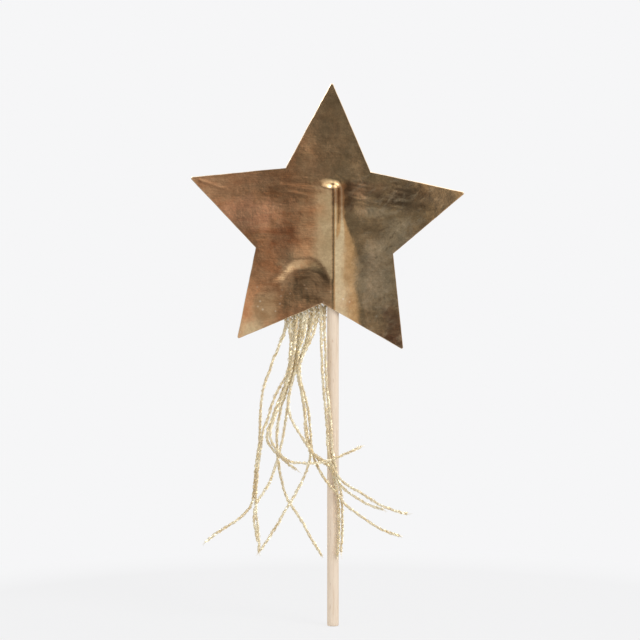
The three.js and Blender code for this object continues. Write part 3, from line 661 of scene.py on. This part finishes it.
def film_material():
    s = Shader(bpy.data.materials.new("adhesive_film"))
    milky = s.noise(s.object_place(), 700, detail=3)
    colour = s.blend(milky, tone(222, 216, 204), tone(240, 236, 228))
    return s.surface(Base_Color=colour, Roughness=0.35, Normal=s.bump(milky, 0.02 * MM))


def wood_material():
    s = Shader(bpy.data.materials.new("birch"))
    grain = s.noise(s.object_place((1, 1, 0.045)), 2600, detail=5, roughness=0.65, distortion=0.3)
    broad = s.noise(s.object_place((1, 1, 0.1)), 500, detail=3)
    colour = s.blend(broad, tone(236, 214, 190), tone(244, 228, 208))
    colour = s.blend(s.times(s.rise(grain, 0.5, 0.72), 0.55), colour, tone(206, 172, 138))
    pores = s.noise(s.object_place((1, 1, 0.12)), 5200)
    colour = s.blend(s.times(s.rise(pores, 0.64, 0.74), 0.5), colour, tone(180, 142, 108))
    return s.surface(Base_Color=colour, Roughness=0.62, Normal=s.bump(s.plus(grain, pores), 0.03 * MM))


def thread_material(name, metal, pale, dark):
    """Metal yarn: a film cut into a thin strip, with tarnish along it."""
    s = Shader(bpy.data.materials.new(name))
    where = s.object_place()
    along = s.noise(where, 420, detail=4, roughness=0.7)
    colour = s.blend(s.rise(along, 0.35, 0.65), dark, pale)
    crimps = s.bump(s.noise(where, 5200, detail=3, roughness=0.7), 0.03 * MM)
    roughness = s.spread(along, 0.3, 0.7, 0.34, 0.14)
    return s.surface(Base_Color=colour, Metallic=metal, Roughness=roughness, Normal=crimps)


# Meshes and objects

def link_object(name, data):
    made = bpy.data.objects.new(name, data)
    bpy.context.scene.collection.objects.link(made)
    return made


def make_object(name, points, faces, materials, smooth_below, which):
    """A mesh of those points and faces, shaded smooth across edges that bend less than smooth_below.

    The last list says which of the materials each face has.
    """
    mesh = bpy.data.meshes.new(name)
    mesh.from_pydata([tuple(p) for p in points], [], faces)
    for material in materials:
        mesh.materials.append(material)
    mesh.polygons.foreach_set("material_index", which)
    mesh.polygons.foreach_set("use_smooth", [True] * len(faces))
    mesh.set_sharp_from_angle(angle=smooth_below)
    mesh.update()
    return link_object(name, mesh)


def fix_to_star(piece, node):
    """Attaches a piece to the star and the stick, so that it stays with them, and hides the solid that it
    stands for.
    """
    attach(piece, "star_and_stick")
    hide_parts(node)


class Tubes:
    """Collects the points and faces of closed tubes, and which material each face has."""

    def __init__(self):
        self.points = []
        self.faces = []
        self.which = []

    def add(self, rings, material=0):
        """A closed tube through rings of points, each with as many points as the next."""
        start = len(self.points)
        count, sides = len(rings), len(rings[0])
        self.points.extend(p for ring in rings for p in ring)
        for r in range(count - 1):
            for k in range(sides):
                a = start + r * sides + k
                b = start + r * sides + (k + 1) % sides
                self.faces.append((a, b, b + sides, a + sides))
        self.faces.append(tuple(start + k for k in reversed(range(sides))))
        self.faces.append(tuple(start + (count - 1) * sides + k for k in range(sides)))
        self.which.extend([material] * ((count - 1) * sides + 2))

    def finish(self, name, materials, smooth_below):
        return make_object(name, self.points, self.faces, materials, smooth_below, self.which)


# Camera, at the photograph's angle

def add_camera():
    data = bpy.data.cameras.new("camera")
    data.lens = data.sensor_width * CAMERA_DISTANCE / PHOTO_ACROSS
    data.clip_start = 0.01
    data.clip_end = 20
    camera = link_object("camera", data)
    back = Vector((0, -math.cos(CAMERA_ELEVATION), math.sin(CAMERA_ELEVATION)))
    camera.location = PHOTO_CENTRE + back * CAMERA_DISTANCE
    camera.rotation_euler = (-back).to_track_quat("-Z", "Y").to_euler()
    bpy.context.scene.camera = camera


# Threads

SAMPLE_STEP = 0.1 * MM
PLY_RADIUS = 0.135 * MM
PLY_OFFSET = 0.1 * MM
PLY_SIDES = 6
TWIST_PITCH = 2.2 * MM
STRIP_COUNT = 4
STRIP_WIDTH = 0.3 * MM
STRIP_THICKNESS = 0.025 * MM
STRIP_RADIUS = 0.225 * MM
STRIP_PITCH = 3.1 * MM
STRIP_LAY = (0.75, 0.66)
STRIP_SEED_GAP = 0.31
# How much a strip's angle, tilt and looseness wander, and over which length
STRIP_WANDER, STRIP_WANDER_LENGTH = 1.6, 1.7 * MM
STRIP_TILT, STRIP_TILT_LENGTH = 1.4, 0.8 * MM
STRIP_SWELL, STRIP_SWELL_LENGTH = 0.9, 1.3 * MM
# Columns of the noise field that a strip's angle, tilt and looseness read, and a thread's kinks
ANGLE_COLUMN, TILT_COLUMN, SWELL_COLUMN = 0.0, 5.0, 7.0
KINK_COLUMNS = (0.0, 9.0)
MOUTH_FULLNESS = 0.45
MOUTH_STRIP_WIDENING = 0.5
MOUTH_FADE = (1.5 * MM, 8 * MM)
KINK_SIZE = 3 * MM
KINK_HEIGHT = 0.07 * MM
KINK_FADE = (0, 4 * MM)
FRAY_COUNT = 4
FRAY_LENGTH = 1.3 * MM
FRAY_WIDTH = 0.07 * MM
FRAY_THICKNESS = 0.03 * MM
FRAY_ROOT = 0.3 * MM
FRAY_SPREAD = 0.5
FRAY_TAPER = 0.7
FRAY_STEPS = 6
# A cut end points the way that the thread runs over this many of its last samples
END_SAMPLES = 12
FOLD_ARC_STEPS = 8
FIRST_FOLD_SEED = 20
PLY_LOOK, STRIP_LOOK = 0, 1

thread_looks = [
    thread_material("gold_yarn", 0.1, tone(250, 240, 214), tone(230, 211, 176)),
    thread_material("gold_strip", 0.7, tone(255, 248, 222), tone(242, 225, 184)),
]


def smooth_route(points, per_span=24):
    """A smooth line through the points: centripetal Catmull-Rom, as points close together."""
    points = [2 * points[0] - points[1], *points, 2 * points[-1] - points[-2]]
    u = np.arange(per_span)[:, None] / per_span
    line = []
    for p0, p1, p2, p3 in zip(points, points[1:], points[2:], points[3:]):
        d0, d1, d2 = (np.linalg.norm(b - a) ** 0.5 for a, b in ((p0, p1), (p1, p2), (p2, p3)))
        t1 = ((p1 - p0) / d0 - (p2 - p0) / (d0 + d1) + (p2 - p1) / d1) * d1
        t2 = ((p2 - p1) / d1 - (p3 - p1) / (d1 + d2) + (p3 - p2) / d2) * d1
        line.extend((2 * u ** 3 - 3 * u ** 2 + 1) * p1 + (u ** 3 - 2 * u ** 2 + u) * t1
                    + (3 * u ** 2 - 2 * u ** 3) * p2 + (u ** 3 - u ** 2) * t2)
    line.append(points[-2])
    return np.array(line)


def even_steps(line, step):
    """The same line, with points an even step apart."""
    lengths = np.concatenate(([0], np.cumsum(np.linalg.norm(np.diff(line, axis=0), axis=1))))
    places = np.linspace(0, lengths[-1], max(2, round(lengths[-1] / step)) + 1)
    return np.column_stack([np.interp(places, lengths, line[:, axis]) for axis in range(3)])


def headings(line):
    """The line's direction at each of its points."""
    along = np.gradient(line, axis=0)
    return along / np.linalg.norm(along, axis=1)[:, None]


def side_directions(line):
    """Two directions square to the line at each of its points, which turn as little as they can along it."""
    along = headings(line)
    first = np.zeros_like(line)
    first[0] = unit(np.cross(along[0], (0.0, 1.0, 0.0)))
    for i in range(1, len(line)):
        first[i] = unit(first[i - 1] - along[i] * (first[i - 1] @ along[i]))
    return first, np.cross(along, first)


def spoke(first, second, angle):
    """The direction at that angle from first towards second, which are square to each other."""
    return math.cos(angle) * first + math.sin(angle) * second


def wander(place, length, row, column):
    """A smooth random number from -1 to 1, which changes over that length along a thread."""
    return noise.noise(Vector((place / length, row, column)))


def kinked(line, seed):
    """The line with the small kinks that a stiff thread has, and none at its start."""
    first, second = side_directions(line)
    places = np.arange(len(line)) * SAMPLE_STEP
    fade = smooth(places, *KINK_FADE)[:, None] * KINK_HEIGHT
    sway, bob = (np.array([wander(p, KINK_SIZE, KINK_SEED_STEP * seed, column) for p in places])[:, None]
                 for column in KINK_COLUMNS)
    return line + fade * (first * sway + second * bob)


def near_mouth(place):
    """1 where a thread starts, falling to 0 further down, where it is drawn tighter."""
    return 1 - smooth(place, *MOUTH_FADE)


def ply_rings(line, turn):
    """One of the two plies that are twisted round each other."""
    rings = []
    for i, (centre, first, second) in enumerate(zip(line, *side_directions(line))):
        angle = turn + 2 * math.pi * i * SAMPLE_STEP / TWIST_PITCH
        fullness = 1 + MOUTH_FULLNESS * near_mouth(i * SAMPLE_STEP)
        middle = centre + PLY_OFFSET * fullness * spoke(first, second, angle)
        radius = PLY_RADIUS * fullness
        rings.append([middle + radius * spoke(first, second, angle + t) for t in turns(PLY_SIDES)])
    return rings


def flat_ring(middle, half_width, half_depth):
    """The four corners of a flat strip's cut."""
    return [middle - half_width - half_depth, middle + half_width - half_depth,
            middle + half_width + half_depth, middle - half_width + half_depth]


def strip_rings(line, turn, seed):
    """A flat metal strip wound loosely round the plies. Its tilt wanders, so that it glints."""
    row = STRIP_SEED_STEP * seed
    rings = []
    for i, (centre, along, first, second) in enumerate(zip(line, headings(line), *side_directions(line))):
        place = i * SAMPLE_STEP
        angle = turn + 2 * math.pi * place / STRIP_PITCH
        angle += STRIP_WANDER * wander(place, STRIP_WANDER_LENGTH, row, ANGLE_COLUMN)
        outward = spoke(first, second, angle)
        around = spoke(second, -first, angle)
        tilt = STRIP_TILT * wander(place, STRIP_TILT_LENGTH, row, TILT_COLUMN)
        swell = max(0, wander(place, STRIP_SWELL_LENGTH, row, SWELL_COLUMN))
        loose = 1 + MOUTH_FULLNESS * near_mouth(place) + STRIP_SWELL * swell
        across = unit(STRIP_LAY[0] * along + STRIP_LAY[1] * around + tilt * outward)
        depth = unit(np.cross(across, np.cross(outward, across)))
        width = STRIP_WIDTH * (1 + MOUTH_STRIP_WIDENING * near_mouth(place))
        middle = centre + STRIP_RADIUS * loose * outward
        rings.append(flat_ring(middle, across * width / 2, depth * STRIP_THICKNESS / 2))
    return rings


def fray_rings(line, draw):
    """A loose fibre that bends away from the cut end."""
    end, heading = line[-1], unit(line[-1] - line[-END_SAMPLES])
    bend = FRAY_SPREAD * np.array([draw.uniform(-1, 1) for _ in range(3)])
    reach = FRAY_LENGTH * draw.uniform(0.5, 1)
    side = unit(np.cross(heading, bend))
    half_depth = unit(np.cross(heading, side)) * FRAY_THICKNESS / 2
    rings = []
    for k in range(FRAY_STEPS + 1):
        share = k / FRAY_STEPS
        middle = end - heading * FRAY_ROOT + heading * reach * share + bend * reach * share ** 2
        rings.append(flat_ring(middle, side * FRAY_WIDTH / 2 * (1 - FRAY_TAPER * share), half_depth))
    return rings


def yarn_object(name, line, seed, frayed):
    """Two plies twisted round each other, with metal strips wound over them."""
    draw = random.Random(seed)
    turn = draw.uniform(0, 2 * math.pi)
    yarn = Tubes()
    for ply in range(2):
        yarn.add(ply_rings(line, turn + math.pi * ply), PLY_LOOK)
    for k, further in enumerate(turns(STRIP_COUNT)):
        yarn.add(strip_rings(line, turn + further, seed + STRIP_SEED_GAP * k), STRIP_LOOK)
    if frayed:
        for _ in range(FRAY_COUNT):
            yarn.add(fray_rings(line, draw), STRIP_LOOK)
    return yarn.finish(name, thread_looks, smooth_below=math.radians(50))


def add_strands():
    """The twelve loose lengths. Each starts inside the pocket, where it meets its fold."""
    for number, (node, (length, route)) in enumerate(STRANDS.items()):
        inside = np.array(route[0]) - in_plane(edge_down, 0) * FOLD_END_GAP
        line = kinked(even_steps(smooth_route(np.array([inside, *route])), SAMPLE_STEP), number)
        thread = yarn_object(node.replace("strand", "thread"), line, number, frayed=True)
        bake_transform(thread)
        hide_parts(node)
        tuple(route[0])
        [tuple(p) for p in line[::3]]


def add_folds():
    """The hidden middles of the threads, looped inside the pocket."""
    for index in range(FOLD_COUNT):
        y = -LAYER_OFFSET if index % 2 else LAYER_OFFSET
        radius = FOLD_OUTER_RADIUS - index * FOLD_RADIUS_STEP
        first, last = (slot(k) - FOLD_END_GAP * edge_down for k in (index, 2 * FOLD_COUNT - 1 - index))
        arc = []
        for k in range(FOLD_ARC_STEPS + 1):
            angle = math.pi * (1 - k / FOLD_ARC_STEPS)
            arc.append(fold_centre + radius * np.array((math.cos(angle), math.sin(angle))))
        route = [in_plane(p, y) for p in (first, *arc, last)]
        line = even_steps(smooth_route(route), SAMPLE_STEP)
        loop = yarn_object(f"looped_thread_{index + 1}", line, FIRST_FOLD_SEED + index, frayed=False)
        fix_to_star(loop, f"fold_{index + 1}")


# Star cards and the film between them

GRID_STEP = 0.25 * MM
GRID_MARGIN = 0.6 * GRID_STEP
CREST_STEP = 0.1 * MM
CREST_HALF = 1.5 * MM
OUTLINE_STEP = 0.25 * MM
# The outline's direction at a point is measured between the points this many to each side
OUTLINE_REACH = 3
# Blender's choice of triangulation: only the triangles inside the outline
INSIDE_ONLY = 1
SAME_POINT = 1e-5
WAVER_SIZE = 4 * MM
WAVER_WIDTH = 0.05 * MM
TIP_ROUNDING = 0.3 * MM
TIP_STEPS = 8
BEVEL_WIDTH = 0.07 * MM
BEVEL_DEPTH = 0.06 * MM
# The back card is turned over, and its marks are read this far from the front card's
BACK_MARKS_SHIFT = 50 * MM
FILM_CUTS = 6
FILM_EDGE_LENGTH = 1.2 * MM


def rounded_tip(before, tip, after):
    """Points round a tip, from the edge that comes from before to the edge that goes to after."""
    to_before, to_after = unit(before - tip), unit(after - tip)
    half_angle = math.acos(to_before @ to_after) / 2
    centre = tip + unit(to_before + to_after) * TIP_ROUNDING / math.sin(half_angle)
    first, last = (tip + way * TIP_ROUNDING / math.tan(half_angle) - centre for way in (to_before, to_after))
    return [centre + unit(mix(first, last, k / TIP_STEPS)) * TIP_ROUNDING for k in range(TIP_STEPS + 1)]


def edge_outward(points):
    """The outward direction at each point of an anticlockwise outline."""
    run = np.roll(points, -OUTLINE_REACH, axis=0) - np.roll(points, OUTLINE_REACH, axis=0)
    outward = np.column_stack((run[:, 1], -run[:, 0]))
    return outward / np.linalg.norm(outward, axis=1)[:, None]


def star_edge():
    """The cut outline as close points, anticlockwise, with the slight waver of a cut made by hand."""
    stops = []
    for i, corner in enumerate(corners):
        if i % 2:
            stops.append(corner)
        else:
            stops.extend(rounded_tip(corners[i - 1], corner, corners[i + 1]))
    points = []
    for a, b in zip(stops, stops[1:] + stops[:1]):
        count = max(1, round(np.linalg.norm(b - a) / OUTLINE_STEP))
        points.extend(mix(a, b, k / count) for k in range(count))
    points = np.array(points)[::-1]
    waver = WAVER_WIDTH * clouds(points[:, 0], points[:, 1], WAVER_SIZE, seed=5)
    return points + edge_outward(points) * waver[:, None]


def inside_outline(points, outline):
    """Which points lie inside the outline, and how far each is from it."""
    x, z = points[:, 0], points[:, 1]
    crossings = np.zeros(len(points), int)
    distance = np.full(len(points), np.inf)
    for (ax, az), (bx, bz) in zip(outline, np.roll(outline, -1, axis=0)):
        spans = (az > z) != (bz > z)
        slope = (bx - ax) / (bz - az) if bz != az else 0.0
        crossings += spans & (x < ax + slope * (z - az))
        length = math.hypot(bx - ax, bz - az)
        share = np.clip(((x - ax) * (bx - ax) + (z - az) * (bz - az)) / length ** 2, 0, 1)
        distance = np.minimum(distance, np.hypot(x - ax - share * (bx - ax), z - az - share * (bz - az)))
    return crossings % 2 == 1, distance


def star_grid():
    """Points and triangles that fill the outline, how many points are its own, and each one's way to it."""
    edge = star_edge()
    low, high = edge.min(0), edge.max(0)
    left = np.arange(-CREST_HALF, low[0], -GRID_STEP)[1:][::-1]
    right = np.arange(CREST_HALF, high[0], GRID_STEP)[1:]
    middle = np.arange(-CREST_HALF, CREST_HALF + CREST_STEP / 2, CREST_STEP)
    columns = np.concatenate((left, middle, right))
    rows = np.arange(low[1], high[1], GRID_STEP)
    grid = np.array([(x, z) for z in rows for x in columns])
    inside, distance = inside_outline(grid, edge)
    kept = inside & (distance > GRID_MARGIN)
    points = np.concatenate((edge, grid[kept]))
    outline = [list(range(len(edge)))]
    flat = [Vector(p / MM) for p in points]
    made = geometry.delaunay_2d_cdt(flat, [], outline, INSIDE_ONLY, SAME_POINT)
    if len(made[0]) != len(points):
        raise ValueError("the star's grid gained or lost points")
    from_edge = np.concatenate((np.zeros(len(edge)), distance[kept]))
    return points, [tuple(face) for face in made[2]], len(edge), from_edge


def star_card(name, side, grid, materials):
    """One foiled card: side is -1 for the front card and 1 for the back one."""
    points, triangles, edge_count, from_edge = grid
    x, z = points[:, 0], points[:, 1]
    inner_y = side * inner_lift(x, z) - plane_bend(x, z)
    outer_y = inner_y + side * CARD_THICKNESS + relief(x if side < 0 else -x - BACK_MARKS_SHIFT, z)
    inner = np.column_stack((x, inner_y, z))
    rim = np.column_stack((x, outer_y - side * BEVEL_DEPTH, z))[:edge_count]
    outer = np.column_stack((x, outer_y, z))
    outer[:edge_count, ::2] -= edge_outward(points[:edge_count]) * BEVEL_WIDTH
    # Faces as the front card has them, each with its look: 0 is foil and 1 is the card's core
    count = len(points)
    faces = [(face, 0) for face in triangles]
    faces += [(tuple(i + count + edge_count for i in reversed(face)), 1) for face in triangles]
    for i in range(edge_count):
        j = (i + 1) % edge_count
        rows = ((i, j), (i + count, j + count), (i + count + edge_count, j + count + edge_count))
        for look, (above, below) in enumerate(zip(rows, rows[1:])):
            faces.append(((above[0], below[0], below[1], above[1]), look))
    turned = [face if side < 0 else face[::-1] for face, look in faces]
    looks = [look for face, look in faces]
    vertices = np.concatenate((outer, rim, inner))
    card = make_object(name, vertices, turned, materials, smooth_below=math.radians(35), which=looks)
    wear = np.concatenate((from_edge, np.zeros(edge_count), from_edge)) / MM
    attribute = card.data.attributes.new("edge_mm", "FLOAT", "POINT")
    attribute.data.foreach_set("value", wear.astype(np.float32))
    return card


def add_cards():
    grid = star_grid()
    materials = [foil_material(), card_core_material()]
    for name, side in (("front", -1), ("back", 1)):
        fix_to_star(star_card(f"{name}_card", side, grid, materials), f"{name}_star")


def add_film():
    """The film's solid, cut finely enough to follow the waves of the cards that it joins."""
    shape = bmesh.new()
    shape.from_mesh(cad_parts["adhesive_sheet"].data)
    bmesh.ops.remove_doubles(shape, verts=shape.verts[:], dist=0.001 * MM)
    for _ in range(FILM_CUTS):
        long_edges = [edge for edge in shape.edges if edge.calc_length() > FILM_EDGE_LENGTH]
        bmesh.ops.subdivide_edges(shape, edges=long_edges, cuts=1)
        bmesh.ops.triangulate(shape, faces=shape.faces[:])
    for vertex in shape.verts:
        x, z = vertex.co.x, vertex.co.z
        side = np.clip((vertex.co.y + arm_bend(x, z)) / (FILM_THICKNESS / 2), -1, 1)
        vertex.co.y = side * FILM_THICKNESS / 2 - plane_bend(x, z)
    mesh = bpy.data.meshes.new("film_sheet")
    shape.to_mesh(mesh)
    shape.free()
    mesh.materials.append(film_material())
    fix_to_star(link_object("film_sheet", mesh), "adhesive_sheet")


# Stick

STICK_SIDES = 64
STICK_RING_STEP = 0.5 * MM
STICK_END_ROUNDING = 0.25 * MM
STICK_UNEVENNESS = 0.02 * MM
STICK_FLAT_LENGTH = 20 * MM
STICK_FLATS = 3
STICK_ROUNDING_STOP = 0.3


def add_stick():
    """A round stick with eased ends, and the slight flats and fibres of turned birch."""
    # Heights of the rings, and how much narrower than the stick each is
    stop = STICK_ROUNDING_STOP * STICK_END_ROUNDING
    foot = [(0.0, STICK_END_ROUNDING), (stop, stop)]
    count = round((STICK_TOP - 2 * STICK_END_ROUNDING) / STICK_RING_STEP)
    straight = [(mix(STICK_END_ROUNDING, STICK_TOP - STICK_END_ROUNDING, k / count), 0.0)
                for k in range(count + 1)]
    top = [(STICK_TOP - z, eased) for z, eased in reversed(foot)]
    rings = []
    for z, eased in foot + straight + top:
        ring = []
        for angle in turns(STICK_SIDES):
            across, ahead = math.cos(angle), math.sin(angle)
            place = Vector((STICK_FLATS * across, STICK_FLATS * ahead, z / STICK_FLAT_LENGTH))
            flats = noise.noise(place)
            radius = STICK_RADIUS - eased - STICK_UNEVENNESS * (0.5 + 0.5 * flats)
            ring.append((radius * across, radius * ahead, z))
        rings.append(ring)
    stick = Tubes()
    stick.add(rings)
    made = stick.finish("birch_stick", [wood_material()], smooth_below=math.radians(40))
    fix_to_star(made, "stick")


# Studio

BACKGROUND = tone(246, 246, 247)
PLAIN_LIGHT = (0.8, 0.8, 0.8, 1)
FLOOR_COLOUR = (0.8, 0.8, 0.8, 1)
FLOOR_RADIUS = 0.45
FLOOR_SIDES = 96
FLOOR_DROP = 0.02 * MM
SHADOW_FADE = (0.01, 0.12)
SHADOW_VEIL = 0.78
LAMP_PLACE = (0.55, -0.6, 0.7)
LAMP_SIZE = 0.5
LAMP_POWER = 3.0


def reflected_room(s):
    """What the foil reflects: a dim room with windows, by angles in degrees from straight in front."""
    direction = s.add("TexCoord").outputs["Generated"]
    axes = s.add("SeparateXYZ", {0: direction}).outputs
    sideways = s.math("ARCTAN2", axes[0], s.times(axes[1], -1.0))
    upward = s.math("ARCSINE", axes[2])
    aside = s.math("ABSOLUTE", sideways)

    def rise(value, low, high):
        return s.rise(value, math.radians(low), math.radians(high))

    def zone(value, low, full, last, high):
        """1 from full to last, falling to 0 at low and high."""
        return s.times(rise(value, low, full), rise(value, high, last))

    blotches = s.noise(direction, 5.0, detail=3, roughness=0.6)
    dim = s.grey(s.spread(blotches, 0.3, 0.7, 0.18, 0.34))
    room = s.blend(1.0, (1.0, 0.93, 0.86, 1), dim, mode="MULTIPLY")
    front_left = rise(sideways, 0.5, -7)
    front_right = s.times(zone(sideways, -1, 3, 11, 15), 0.55)
    above = s.times(rise(upward, -4, 4), 0.8)
    table = rise(upward, -7, -17)
    left_window = s.times(zone(sideways, -96, -84, -21, -7), rise(upward, 9, 4))
    overhead = s.times(rise(upward, 13, 22), s.math("MAXIMUM", rise(aside, 6, 24), 0.35))
    sky = s.times(rise(upward, 29, 42), s.math("MAXIMUM", rise(aside, 8, 40), 0.25))
    # High windows, which make the small highlights
    high = zone(upward, 30, 36, 54, 62)
    high_left = s.times(zone(sideways, -92, -82, -52, -40), high)
    high_right = s.times(zone(sideways, 42, 50, 72, 84), high)
    for share, light in (
        (front_left, (0.76, 0.58, 0.49)),
        (front_right, (0.13, 0.13, 0.12)),
        (above, (0.13, 0.115, 0.105)),
        (table, (0.72, 0.70, 0.66)),
        (zone(sideways, 8, 14, 78, 92), (0.71, 0.555, 0.42)),
        (zone(sideways, 24, 31, 48, 58), (0.94, 0.96, 0.98)),
        (zone(sideways, 78, 92, 108, 128), (0.30, 0.24, 0.20)),
        (left_window, (0.70, 0.67, 0.63)),
        (overhead, (1.3, 1.22, 1.1)),
        (sky, (2.6, 2.5, 2.3)),
        (high_left, (8.0, 7.9, 7.6)),
        (high_right, (4.0, 3.9, 3.7)),
        (rise(upward, 68, 80), (0.35, 0.28, 0.24)),
        (rise(aside, 112, 136), (0.85, 0.85, 0.85)),
    ):
        room = s.blend(share, room, (*light, 1))
    # Away from the front the room is mottled, so that turned foil shows soft bands
    turned = s.math("MAXIMUM", rise(aside, 70, 105), rise(upward, -12, -24))
    mottle = s.grey(s.spread(blotches, 0.38, 0.62, 0.45, 1.15))
    return s.blend(turned, room, mottle, mode="MULTIPLY")


def add_world():
    """The background's white for the camera, the room for what the foil reflects, and plain light."""
    world = bpy.data.worlds.new("studio")
    bpy.context.scene.world = world
    s = Shader(world)
    path = s.add("LightPath").outputs
    seen = s.blend(path["Is Glossy Ray"], PLAIN_LIGHT, reflected_room(s))
    seen = s.blend(path["Is Camera Ray"], seen, BACKGROUND)
    s.finish(s.add("Background", {"Color": seen, "Strength": 1.0}), "OutputWorld")


def add_floor():
    """White, with a soft shadow near the stick. Further out the camera sees it as the background."""
    s = Shader(bpy.data.materials.new("pale_floor"))
    path = s.add("LightPath").outputs
    matte = s.add("BsdfDiffuse", {"Color": FLOOR_COLOUR})
    glow = s.add("Emission", {"Color": BACKGROUND, "Strength": 1.0})
    out = s.add("VectorMath", {0: s.object_place()}, operation="LENGTH").outputs["Value"]
    white = s.math("MAXIMUM", s.rise(out, *SHADOW_FADE), SHADOW_VEIL)
    share = s.times(path["Is Camera Ray"], white)
    look = s.finish(s.add("MixShader", {0: share, 1: matte.outputs[0], 2: glow.outputs[0]}))
    points = [(FLOOR_RADIUS * math.cos(angle), FLOOR_RADIUS * math.sin(angle), -FLOOR_DROP)
              for angle in turns(FLOOR_SIDES)]
    face = tuple(range(FLOOR_SIDES))
    floor = make_object("floor", points, [face], [look], smooth_below=0, which=[0])
    floor.visible_glossy = False


def add_lamp():
    data = bpy.data.lights.new("softbox", "AREA")
    data.shape = "DISK"
    data.size = LAMP_SIZE
    data.energy = LAMP_POWER
    lamp = link_object("softbox", data)
    lamp.location = LAMP_PLACE
    lamp.rotation_euler = (PHOTO_CENTRE - lamp.location).to_track_quat("-Z", "Y").to_euler()
    lamp.visible_glossy = False


add_camera()
add_strands()
add_folds()
add_cards()
add_film()
add_stick()
add_world()
add_floor()
add_lamp()

bpy.context.scene.view_settings.view_transform = "Standard"
